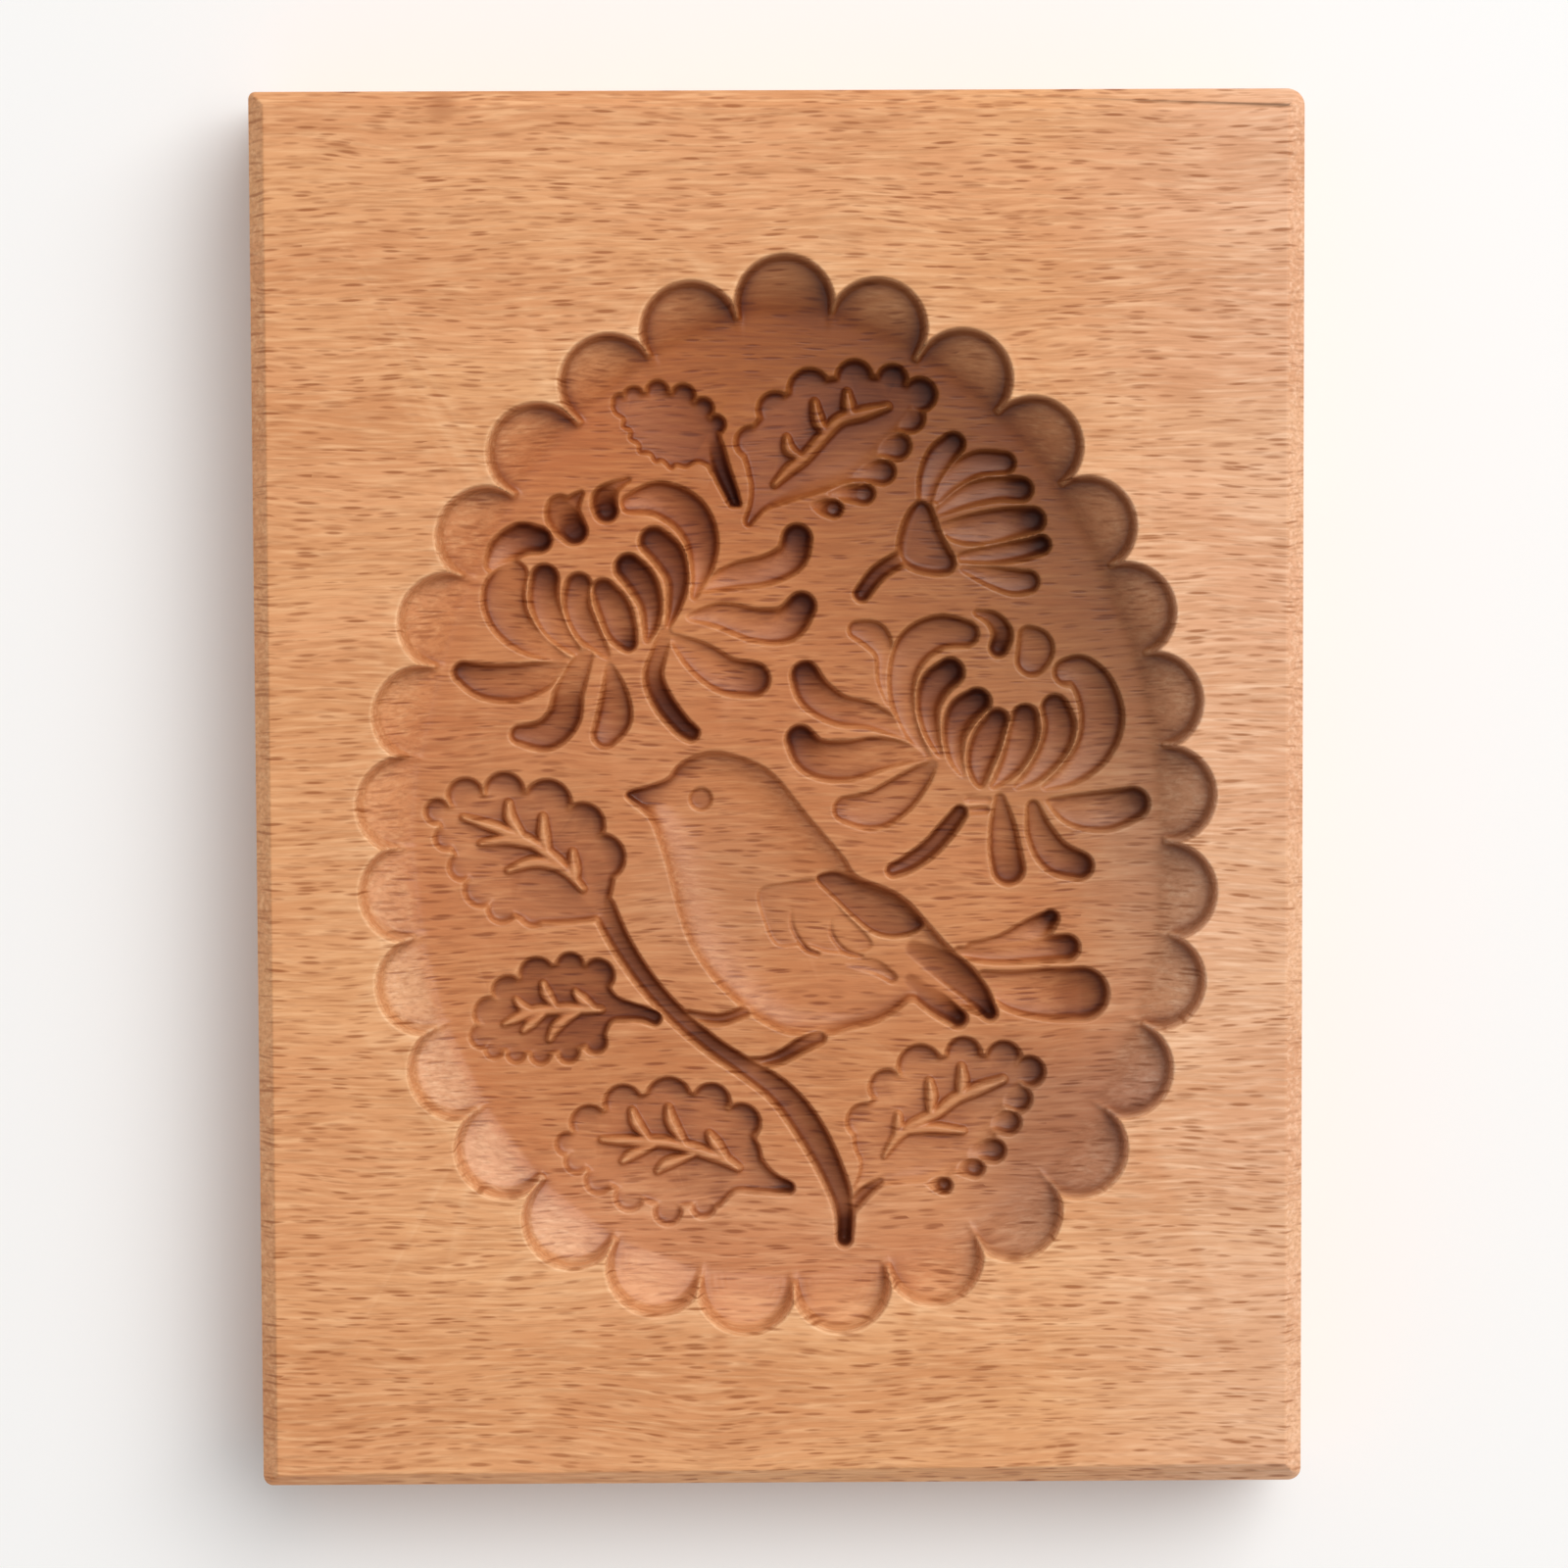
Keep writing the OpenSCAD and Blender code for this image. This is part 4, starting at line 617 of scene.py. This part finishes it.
def bevelAt(x, y):
    share = (x + board['halfWidth']) / (2 * board['halfWidth'])
    atTop = np.interp(share, (0, 1), board['topBevel'])
    atBottom = np.interp(share, (0, 1), board['bottomBevel'])
    ends = np.where(y > 0, atTop, atBottom)
    sides = np.where(x > 0, board['sideBevel'][1], board['sideBevel'][0])
    return sides, ends


def boardTop(step):
    # the carving, its softened depths and the plan positions of the front's points
    c = carve(step)
    depth = softened(c.depth, board['arrisRound'] / step)
    grid = board['gridStep']
    gx = boardLines(board['halfWidth'], board['fineHalfWidth'], grid)
    gy = boardLines(board['halfLength'], board['fineHalfLength'], grid)
    X, Y = np.meshgrid(gx, gy)
    r = cornerAt(X, Y)
    a, b = np.abs(X) - (board['halfWidth'] - r), np.abs(Y) - (board['halfLength'] - r)
    corner = (a > 0) & (b > 0)
    scale = np.where(corner, np.maximum(a, b) / np.maximum(np.hypot(a, b), 1e-9), 1)
    X = np.where(corner, np.sign(X) * (board['halfWidth'] - r + a * scale), X)
    Y = np.where(corner, np.sign(Y) * (board['halfLength'] - r + b * scale), Y)
    return c, depth, X, Y


def edgeDistance(x, y):
    # inward from the outline, and how far each point lies past the corner's middle in x and in y
    r = cornerAt(x, y)
    a, b = np.abs(x) - (board['halfWidth'] - r), np.abs(y) - (board['halfLength'] - r)
    corner = (a > 0) & (b > 0)
    d = np.where(corner, r - np.hypot(a, b), r - np.maximum(a, b))
    return d, a, b


def bevelDrop(x, y):
    d, a, b = edgeDistance(x, y)
    sides, ends = bevelAt(x, y)
    corner = (a > 0) & (b > 0)
    mix = np.where(corner, a * a / np.maximum(a * a + b * b, 1e-9), (a > b).astype(float))
    sideDrop = sides - (board['halfWidth'] - np.abs(x))
    endDrop = ends - (board['halfLength'] - np.abs(y))
    straight = np.maximum(sideDrop, endDrop)
    drop = np.where(corner, np.maximum(sides * mix + ends * (1 - mix) - d, 0), np.maximum(straight, 0))
    soft = board['bevelRound']
    return np.where(drop < soft, drop * drop / (2 * soft), drop - soft / 2)


def sampleGrid(c, z, x, y):
    u = np.clip((x - c.xs[0]) / c.step, 0, len(c.xs) - 1.001)
    v = np.clip((y - c.ys[0]) / c.step, 0, len(c.ys) - 1.001)
    i, j = u.astype(int), v.astype(int)
    fu, fv = u - i, v - j
    near = z[j, i] * (1 - fu) + z[j, i + 1] * fu
    far = z[j + 1, i] * (1 - fu) + z[j + 1, i + 1] * fu
    return near * (1 - fv) + far * fv


def buildBoard():
    step = board['carvingStep']
    c, depth, X, Y = boardTop(step)
    print('carving worked out', depth.shape)
    top = board['thickness'] - board['faceBelow']
    Z = top - sampleGrid(c, depth, X, Y) - bevelDrop(X, Y)
    ny, nx = X.shape
    front = np.stack([X, Y, Z], -1).reshape(-1, 3)
    number = np.arange(ny * nx).reshape(ny, nx)
    quads = np.stack([number[:-1, :-1], number[:-1, 1:], number[1:, 1:], number[1:, :-1]], -1)
    quads = quads.reshape(-1, 4)
    # the outline, and rows of it down the sides and over the back edge
    ring = np.concatenate([number[0, :-1], number[:-1, -1], number[-1, :0:-1], number[:0:-1, 0]])
    rim = front[ring]
    a, b = edgeDistance(rim[:, 0], rim[:, 1])[1:]
    atCorner = ((a > 0) & (b > 0))[:, None]
    straight = np.stack([a > b, b >= a], 1).astype(float)
    out = np.where(atCorner, np.stack([a, b], 1), straight)
    out = out / np.hypot(out[:, 0], out[:, 1])[:, None] * np.sign(rim[:, :2])
    e, back = board['edgeRound'], board['backBevel']
    # how far in from the outline, how high, or with no height how far below the rim
    rows = [(0.3 * e, None, 0.8 * e), (0, None, 2 * e)]
    rows += [(0, height, 0) for height in board['sideRows']]
    rows += [(0, back + e, 0), (0.3 * e, back + 0.2 * e, 0), (back * 0.5, back * 0.5, 0)]
    rows += [(back, 0.3 * e, 0), (back + 2 * e, 0, 0)]
    points, faces, last = [front], [quads], ring
    for inset, height, below in rows:
        p = rim.copy()
        p[:, :2] += out * (e - inset)
        p[:, 2] = rim[:, 2] - below if height is None else height
        row = np.arange(len(ring)) + sum(len(q) for q in points)
        faces.append(np.stack([last, row, np.roll(row, -1), np.roll(last, -1)], -1))
        points.append(p)
        last = row
    points = np.concatenate(points)
    faces = np.concatenate(faces)
    mesh = bpy.data.meshes.new('board')
    mesh.from_pydata((points * 0.001).tolist(), [], faces.tolist() + [last[::-1].tolist()])
    piece = bpy.data.objects.new('board', mesh)
    bpy.context.collection.objects.link(piece)
    print('board mesh', len(mesh.polygons), 'faces')
    thinMesh(piece)
    finishMesh(piece, c, depth)
    return piece


def thinMesh(piece):
    # flat wood needs few triangles, so what there are go to the carving
    triangles = 2 * len(piece.data.polygons)
    if triangles > board['triangles']:
        thin = piece.modifiers.new('thin', 'DECIMATE')
        thin.ratio = board['triangles'] / triangles
        evaluated = piece.evaluated_get(bpy.context.evaluated_depsgraph_get())
        mesh = bpy.data.meshes.new_from_object(evaluated)
        piece.modifiers.clear()
        old, piece.data = piece.data, mesh
        bpy.data.meshes.remove(old)
        mesh.name = 'board'
    print('board thinned to', sum(len(f.vertices) - 2 for f in piece.data.polygons), 'triangles')


# widths in mm over which the painted shade and highlights look at the carving
paintedShadeWidths = dict(
    hollowWidth=1.2,
    cornerWidth=0.35,
    shadeBlur=0.12,
)


def finishMesh(piece, c, depth):
    mesh = piece.data
    n = len(mesh.vertices)
    p = np.empty(n * 3)
    mesh.vertices.foreach_get('co', p)
    p = p.reshape(n, 3) * 1000
    x, y = p[:, 0], p[:, 1]
    # smooth normals straight from the carving, so that thinning doesn't show
    h = 0.1

    def height(x, y):
        return -sampleGrid(c, depth, x, y) - bevelDrop(x, y)

    slopeX = height(x - h, y) - height(x + h, y)
    slopeY = height(x, y - h) - height(x, y + h)
    normals = np.stack([slopeX, slopeY, np.full(n, 2 * h)], 1)
    normals /= np.linalg.norm(normals, axis=1)[:, None]
    loops = np.empty(len(mesh.loops), int)
    mesh.loops.foreach_get('vertex_index', loops)
    total = np.empty(len(mesh.polygons), int)
    mesh.polygons.foreach_get('loop_total', total)
    flat = np.empty(len(mesh.polygons) * 3)
    mesh.polygons.foreach_get('normal', flat)
    flat = flat.reshape(-1, 3)
    polygon = np.repeat(np.arange(len(total)), total)
    starts = np.concatenate([[0], np.cumsum(total)[:-1]])
    # the sides, the back and the flat rims keep their own
    inward = np.add.reduceat(edgeDistance(x, y)[0][loops], starts) / total
    side = (flat[:, 2] < 0.3) & (inward < 1)
    side |= flat[:, 2] < -0.5
    lowest = np.minimum.reduceat(p[:, 2][loops], starts)
    side |= (flat[:, 2] > 0.9995) & (lowest > board['thickness'] - 0.03)
    chosen = np.where(side[polygon][:, None], flat[polygon], normals[loops])
    mesh.polygons.foreach_set('use_smooth', np.ones(len(total), bool))
    mesh.normals_split_custom_set(chosen.tolist())
    # how deep and how hollow the wood is at each point, for the painted shade and highlights
    own = sampleGrid(c, depth, x, y)
    aboveBack = p[:, 2] > 2

    def softer(z, width):
        return sampleGrid(c, softened(z, width / c.step), x, y)

    values = dict(
        hollowness=np.where(aboveBack, own - softer(depth, paintedShadeWidths['hollowWidth']), 0),
        depth=np.where(aboveBack, own, 0),
        shade=softer(c.shade, paintedShadeWidths['shadeBlur']),
        corner=own - softer(depth, paintedShadeWidths['cornerWidth']),
    )
    for name, value in values.items():
        layer = mesh.attributes.new(name, 'FLOAT', 'POINT')
        layer.data.foreach_set('value', value.astype(np.float32))


beech = dict(
    wood=(0.755, 0.353, 0.16),
    darkBand=(0.65, 0.278, 0.112),
    paleBand=(0.795, 0.41, 0.184),
    pale=(0.86, 0.472, 0.236),
    fibre=(0.49, 0.197, 0.072),
    fleck=(0.35, 0.11, 0.03),
    wanderSize=(36, 11, 14),        # sizes are mm along, across and into the board
    wander=0.004,                   # how far the grain wanders aside, in metres
    ringSize=(150, 9, 6),
    blotchSize=(34, 13, 12),
    fibreSize=(6.5, 0.42, 0.42),
    paleFibreSize=(7, 0.6, 0.6),
    streakSize=(26, 1.0, 1.0),
    fleckSize=(4.8, 0.62, 15),
    smallFleckSize=(3.4, 0.5, 10),
    knot=(-0.038, 0.0782, 0.019),   # a small dark one at the top edge, in metres
    paintedSheenRight=(1.06, 1.22, 1.6),     # painted sheen along the right edge
    paintedShadeLowLeft=(0.75, 0.6, 0.5),       # painted shade of the carved wood at the lower left
    paintedShadeUpperRight=(0.35, 0.28, 0.225),    # and the darker painted shade at the upper right
    paintedShadeTop=(0.78, 0.47, 0.14),      # and more painted shade on top of that towards the top end
    paintedSheenBottom=(1.09, 1.2, 1.42),    # painted pink sheen on the floor at the bottom
    paintedShadeLowRight=(0.72, 0.74, 0.88),    # painted shade at the lower right
    paintedSheen=(1.02, 1.17, 1.38),  # painted sheen on slopes at the lower left and right, and on the bird's breast
    breast=(-0.008, -0.012, 0.0125),   # the middle of that, in metres
    paintedFigureShade=(0.57, 0.44, 0.31),    # painted shade of the darkest figures
    paintedCornerShade=(0.7, 0.56, 0.46),  # painted shade at the foot of a wall
    paintedArrisHighlight=(1.1, 1.22, 1.35),   # painted highlight along an arris
    paintedCutShade=(0.42, 0.30, 0.25),    # painted shade at the bottom of the deep narrow cuts
    roughness=0.47,
    cutRoughness=0.35,              # where the knife and gouge left the wood smooth
    specular=0.3,
)
# where each tint starts and where it is full, in metres, and after them its share at both places
reach = dict(
    paintedSheenRight=(0.03, 0.058),
    paintedShadeRun=(0.011, 0.043),         # from the board's middle towards the upper right
    paintedShadeTop=(0.0, 0.064),
    paintedShadeTopFade=(-0.034, -0.004, 0.5, 1.0),
    paintedSheenBottom=(-0.041, -0.049),
    paintedSheenBottomEdge=(-0.059, -0.054),
    paintedShadeStart=(-0.006, 0.02, 2.2, 1.3),     # how deep the painted shade starts, in mm
    paintedShadeOnWalls=(0.0, 0.02, 0.0, 0.5),
    paintedShadeLowRightX=(0.019, 0.028),
    paintedShadeLowRightY=(-0.026, -0.034),
    paintedSheenX=(-0.018, -0.028),
    paintedSheenAcross=(-0.034, -0.046),
    paintedSheenRightX=(0.034, 0.04),           # the painted sheen on the slopes at the right
    paintedSheenRightTop=(0.008, -0.006),
    paintedSheenRightFoot=(-0.037, -0.029),
    breast=(0.012, 0.005, 0.0, 0.8),       # from its middle
    paintedShadeScoopWalls=(-0.012, 0.01, 0.2, 0.75),  # how dark the painted shade on the scallops' walls gets
)


class Nodes:
    # short way to place and join shader nodes
    def __init__(self, tree):
        self.tree = tree

    def add(self, kind, inputs=None, **settings):
        node = self.tree.nodes.new('ShaderNode' + kind)
        for key, value in settings.items():
            setattr(node, key, value)
        for key, value in (inputs or {}).items():
            if isinstance(value, bpy.types.NodeSocket):
                self.tree.links.new(value, node.inputs[key])
            else:
                node.inputs[key].default_value = value
        return node

    def math(self, operation, a, b=0.0, clamp=False):
        return self.add('Math', {0: a, 1: b}, operation=operation, use_clamp=clamp).outputs[0]

    def scaled(self, vector, size):
        # one turn of the pattern is size mm long in x, y and z
        turns = tuple(1000 / s for s in size)
        return self.add('VectorMath', {0: vector, 1: turns}, operation='MULTIPLY').outputs[0]

    def moved(self, vector, offset):
        return self.add('VectorMath', {0: vector, 1: offset}, operation='ADD').outputs[0]

    def distance(self, vector, point):
        return self.add('VectorMath', {0: vector, 1: point}, operation='DISTANCE').outputs['Value']

    def attribute(self, name):
        return self.add('Attribute', attribute_name=name).outputs['Fac']

    def noise(self, vector, detail=2.0, roughness=0.5):
        inputs = {'Vector': vector, 'Scale': 1.0, 'Detail': detail, 'Roughness': roughness}
        return self.add('TexNoise', inputs).outputs[0]

    def ranged(self, value, low, high, start=0.0, end=1.0):
        return self.add('MapRange', {0: value, 1: low, 2: high, 3: start, 4: end}).outputs[0]

    def mix(self, share, a, b, blend='MIX'):
        node = self.add('Mix', {0: share, 6: a, 7: b}, data_type='RGBA', blend_type=blend)
        return node.outputs[2]

    def paint(self, share, base, colour):
        return self.mix(share, base, colour + (1,))

    def tint(self, share, base, colour):
        # the base colour times another one, as far as share says
        if isinstance(colour, tuple):
            colour = colour + (1,)
        return self.mix(share, base, self.mix(1.0, base, colour, 'MULTIPLY'))


def beechMaterial():
    material = bpy.data.materials.new('oiled beech')
    material.use_nodes = True
    tree = material.node_tree
    tree.nodes.clear()
    n = Nodes(tree)
    place = n.add('TexCoord').outputs['Object']
    # the grain wanders a little across its run
    wander = n.noise(n.scaled(place, beech['wanderSize']), 2.0)
    aside = n.math('MULTIPLY', n.math('SUBTRACT', wander, 0.5), beech['wander'])
    shift = n.add('CombineXYZ', {0: 0.0, 1: aside, 2: 0.0}).outputs[0]
    grain = n.moved(place, shift)
    rings = n.noise(n.scaled(grain, beech['ringSize']), 3.0, 0.55)
    blotches = n.noise(n.scaled(grain, beech['blotchSize']), 2.0, 0.5)
    fibres = n.noise(n.scaled(grain, beech['fibreSize']), 3.0, 0.6)
    paleFibres = n.noise(n.scaled(n.moved(grain, (0.02, 0.03, 0.01)), beech['paleFibreSize']), 2.0, 0.5)
    streaks = n.noise(n.scaled(grain, beech['streakSize']), 2.0, 0.5)

    def flecks(size, offset, outer, inner, faint, strong):
        inputs = {'Vector': n.scaled(n.moved(grain, offset), size), 'Scale': 1.0, 'Randomness': 1.0}
        cells = n.add('TexVoronoi', inputs, feature='F1')
        shade = n.ranged(n.add('SeparateColor', {0: cells.outputs['Color']}).outputs[0], faint, strong)
        return n.math('MULTIPLY', n.ranged(cells.outputs['Distance'], outer, inner), shade)

    fleck = n.math('MAXIMUM', flecks(beech['fleckSize'], (0.0, 0.0, 0.0), 0.36, 0.17, -0.1, 0.95),
                   flecks(beech['smallFleckSize'], (0.013, 0.021, 0.008), 0.37, 0.18, 0.0, 1.15))
    base = n.mix(n.ranged(rings, 0.36, 0.64), beech['wood'] + (1,), beech['darkBand'] + (1,))
    base = n.paint(n.ranged(blotches, 0.42, 0.68, 0.0, 0.7), base, beech['paleBand'])
    base = n.paint(n.ranged(streaks, 0.38, 0.7, 0.0, 0.35), base, beech['darkBand'])
    base = n.paint(n.ranged(paleFibres, 0.46, 0.7, 0.0, 0.7), base, beech['pale'])
    base = n.paint(n.ranged(fibres, 0.44, 0.74, 0.0, 0.75), base, beech['fibre'])
    base = n.paint(n.math('MULTIPLY', fleck, 0.92), base, beech['fleck'])
    at = n.add('SeparateXYZ', {0: place}).outputs
    # painted sheen along the right edge of the board
    base = n.tint(n.ranged(at[0], *reach['paintedSheenRight']), base, beech['paintedSheenRight'])
    depth = n.attribute('depth')
    knot = n.distance(grain, beech['knot'])
    base = n.paint(n.ranged(knot, 0.0024, 0.0006, 0.0, 0.6), base, beech['fleck'])
    hollowness = n.attribute('hollowness')
    # painted shade over the carved wood, darker towards the upper right
    # metres from the board's middle towards the upper right
    across = n.math('ADD', n.math('MULTIPLY', at[0], 0.74), n.math('MULTIPLY', at[1], 0.67))
    paintedShadeTint = n.mix(n.ranged(across, *reach['paintedShadeRun']), beech['paintedShadeLowLeft'] + (1,), beech['paintedShadeUpperRight'] + (1,))
    # painted shade towards the top end
    top = n.math('MULTIPLY', n.ranged(at[1], *reach['paintedShadeTop']), n.ranged(at[0], *reach['paintedShadeTopFade']))
    paintedShadeTint = n.tint(top, paintedShadeTint, beech['paintedShadeTop'])
    # painted pink sheen on the floor at the bottom end
    low = n.math('MINIMUM', n.ranged(at[1], *reach['paintedSheenBottom']), n.ranged(at[1], *reach['paintedSheenBottomEdge']))
    paintedShadeTint = n.tint(low, paintedShadeTint, beech['paintedSheenBottom'])
    start = n.ranged(across, *reach['paintedShadeStart'])
    walls = n.ranged(depth, 0.1, 1.2, 0.0, n.ranged(across, *reach['paintedShadeOnWalls']))
    paintedShadeShare = n.math('MAXIMUM', n.ranged(depth, start, 4.9), walls)
    base = n.tint(paintedShadeShare, base, paintedShadeTint)
    # painted shade in the carving at the lower right
    paintedShadeLowRightShare = n.math('MULTIPLY', n.ranged(at[0], *reach['paintedShadeLowRightX']), n.ranged(at[1], *reach['paintedShadeLowRightY']))
    paintedShadeLowRightShare = n.math('MULTIPLY', paintedShadeLowRightShare, n.ranged(depth, 0.5, 2.5))
    base = n.tint(paintedShadeLowRightShare, base, beech['paintedShadeLowRight'])
    # painted sheen on the slopes at the lower left and right and on the bird's breast
    paintedSheenShare = n.math('MULTIPLY', n.ranged(at[0], *reach['paintedSheenX']), n.ranged(across, *reach['paintedSheenAcross']))
    slope = n.math('MINIMUM', n.ranged(depth, 2.2, 3.0), n.ranged(depth, 5.0, 4.6))
    paintedSheenShare = n.math('MULTIPLY', paintedSheenShare, slope)
    right = n.math('MINIMUM', n.ranged(at[1], *reach['paintedSheenRightTop']), n.ranged(at[1], *reach['paintedSheenRightFoot']))
    right = n.math('MULTIPLY', right, n.ranged(at[0], *reach['paintedSheenRightX']))
    right = n.math('MULTIPLY', right, n.ranged(depth, 1.0, 2.6, 0.0, 0.85))
    breast = n.distance(place, beech['breast'])
    paintedSheenShare = n.math('MAXIMUM', n.math('MAXIMUM', paintedSheenShare, right), n.ranged(breast, *reach['breast']))
    base = n.tint(paintedSheenShare, base, beech['paintedSheen'])
    # painted shade in the deep figures
    shade = n.attribute('shade')
    base = n.tint(shade, base, beech['paintedFigureShade'])
    # painted shade in the deep narrow cuts, weaker on the scallops' walls than on the figures, most of all
    # at the lower left
    figures = n.ranged(depth, 3.6, 5.2, n.ranged(across, *reach['paintedShadeScoopWalls']), 1.0)
    paintedCutShadeShare = n.math('MULTIPLY', n.ranged(hollowness, 0.08, 1.2), figures)
    base = n.tint(paintedCutShadeShare, base, beech['paintedCutShade'])
    # painted shade at the feet of the walls
    corner = n.attribute('corner')
    paintedCornerShare = n.math('MULTIPLY', n.ranged(corner, 0.02, 0.22), figures)
    base = n.tint(paintedCornerShare, base, beech['paintedCornerShade'])
    # painted highlight along the arrises
    colour = n.tint(n.ranged(corner, -0.03, -0.25), base, beech['paintedArrisHighlight'])
    relief = n.math('SUBTRACT', n.math('MULTIPLY', fibres, -0.35), n.math('MULTIPLY', fleck, 0.5))
    bump = n.add('Bump', {'Strength': 0.35, 'Distance': 0.00012, 'Height': relief})
    uneven = n.ranged(fibres, 0.2, 0.8, -0.05, 0.07)
    rough = n.ranged(depth, 0.5, 3.0, beech['roughness'], beech['cutRoughness'])
    rough = n.math('ADD', uneven, rough)
    rough = n.math('ADD', rough, n.ranged(shade, 0.05, 0.6, 0.0, 0.25))
    shader = n.add('BsdfPrincipled', {'Base Color': colour, 'Roughness': rough, 'Normal': bump.outputs[0]})
    shader.inputs['Specular IOR Level'].default_value = beech['specular']
    out = n.add('OutputMaterial')
    tree.links.new(shader.outputs[0], out.inputs[0])
    return material


studio = dict(
    floorSize=6.0,
    lampAzimuth=46,        # degrees from the right towards the top of the photo
    lampHeight=54,
    lampDistance=2.6,
    lampSize=2.2,
    lampPower=61,
    lampColour=(1.0, 0.985, 0.96),
    skyLight=0.42,
    paper=0.93,            # how white the floor is
    paperRoughness=0.9,
    paperSpecular=0.1,
)


def whiteForCamera(tree):
    # the camera and reflections see plain white, and everything else sees the sky
    n = Nodes(tree)
    path = n.add('LightPath')
    mirrored = n.math('MAXIMUM', path.outputs['Is Glossy Ray'], path.outputs['Is Transmission Ray'])
    seen = n.math('MAXIMUM', path.outputs['Is Camera Ray'], mirrored)
    return n, seen


def buildStudio():
    scene = bpy.context.scene
    scene.view_settings.view_transform = 'Standard'
    world = bpy.data.worlds.new('studio')
    scene.world = world
    world.use_nodes = True
    world.node_tree.nodes.clear()
    n, seen = whiteForCamera(world.node_tree)
    sky = n.add('Background', {'Color': (1, 1, 1, 1), 'Strength': studio['skyLight']})
    white = n.add('Background', {'Color': (1, 1, 1, 1), 'Strength': 1.0})
    pick = n.add('MixShader', {0: seen, 1: sky.outputs[0], 2: white.outputs[0]})
    out = n.add('OutputWorld')
    world.node_tree.links.new(pick.outputs[0], out.inputs[0])

    half = studio['floorSize'] / 2
    mesh = bpy.data.meshes.new('floor')
    corners = [(-half, -half, 0), (half, -half, 0), (half, half, 0), (-half, half, 0)]
    mesh.from_pydata(corners, [], [(0, 1, 2, 3)])
    floor = bpy.data.objects.new('floor', mesh)
    bpy.context.collection.objects.link(floor)
    paper = bpy.data.materials.new('white paper')
    paper.use_nodes = True
    shader = paper.node_tree.nodes['Principled BSDF']
    shader.inputs['Base Color'].default_value = (studio['paper'],) * 3 + (1,)
    shader.inputs['Roughness'].default_value = studio['paperRoughness']
    shader.inputs['Specular IOR Level'].default_value = studio['paperSpecular']
    mesh.materials.append(paper)

    lamp = bpy.data.lights.new('window', 'AREA')
    lamp.shape = 'SQUARE'
    lamp.size = studio['lampSize']
    lamp.energy = studio['lampPower']
    lamp.color = studio['lampColour']
    az, el = math.radians(studio['lampAzimuth']), math.radians(studio['lampHeight'])
    aim = (math.cos(az) * math.cos(el), math.sin(az) * math.cos(el), math.sin(el))
    lampObject = bpy.data.objects.new('window', lamp)
    lampObject.location = [v * studio['lampDistance'] for v in aim]
    lampObject.rotation_mode = 'QUATERNION'
    lampObject.rotation_quaternion = Vector(aim).to_track_quat('Z', 'Y')
    bpy.context.collection.objects.link(lampObject)


photoCamera = dict(
    lens=112.5,
    place=(0.00148, 0.03866, 0.57836),
    turn=(-3.843, 0.088, -0.228),      # degrees, as a rotation vector from looking straight down
)


def buildCamera():
    data = bpy.data.cameras.new('photo camera')
    data.lens = photoCamera['lens']
    data.sensor_width = 36
    data.clip_start = 0.01
    camera = bpy.data.objects.new('photo camera', data)
    camera.location = photoCamera['place']
    turn = Vector([math.radians(v) for v in photoCamera['turn']])
    camera.rotation_mode = 'QUATERNION'
    camera.rotation_quaternion = Quaternion(turn.normalized(), turn.length)
    bpy.context.collection.objects.link(camera)
    bpy.context.scene.camera = camera


buildCamera()
buildStudio()
print('camera and studio ready')
boardPiece = buildBoard()
boardPiece.data.materials.append(beechMaterial())
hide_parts('mould_board')
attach(boardPiece, 'root')
print('board finished')
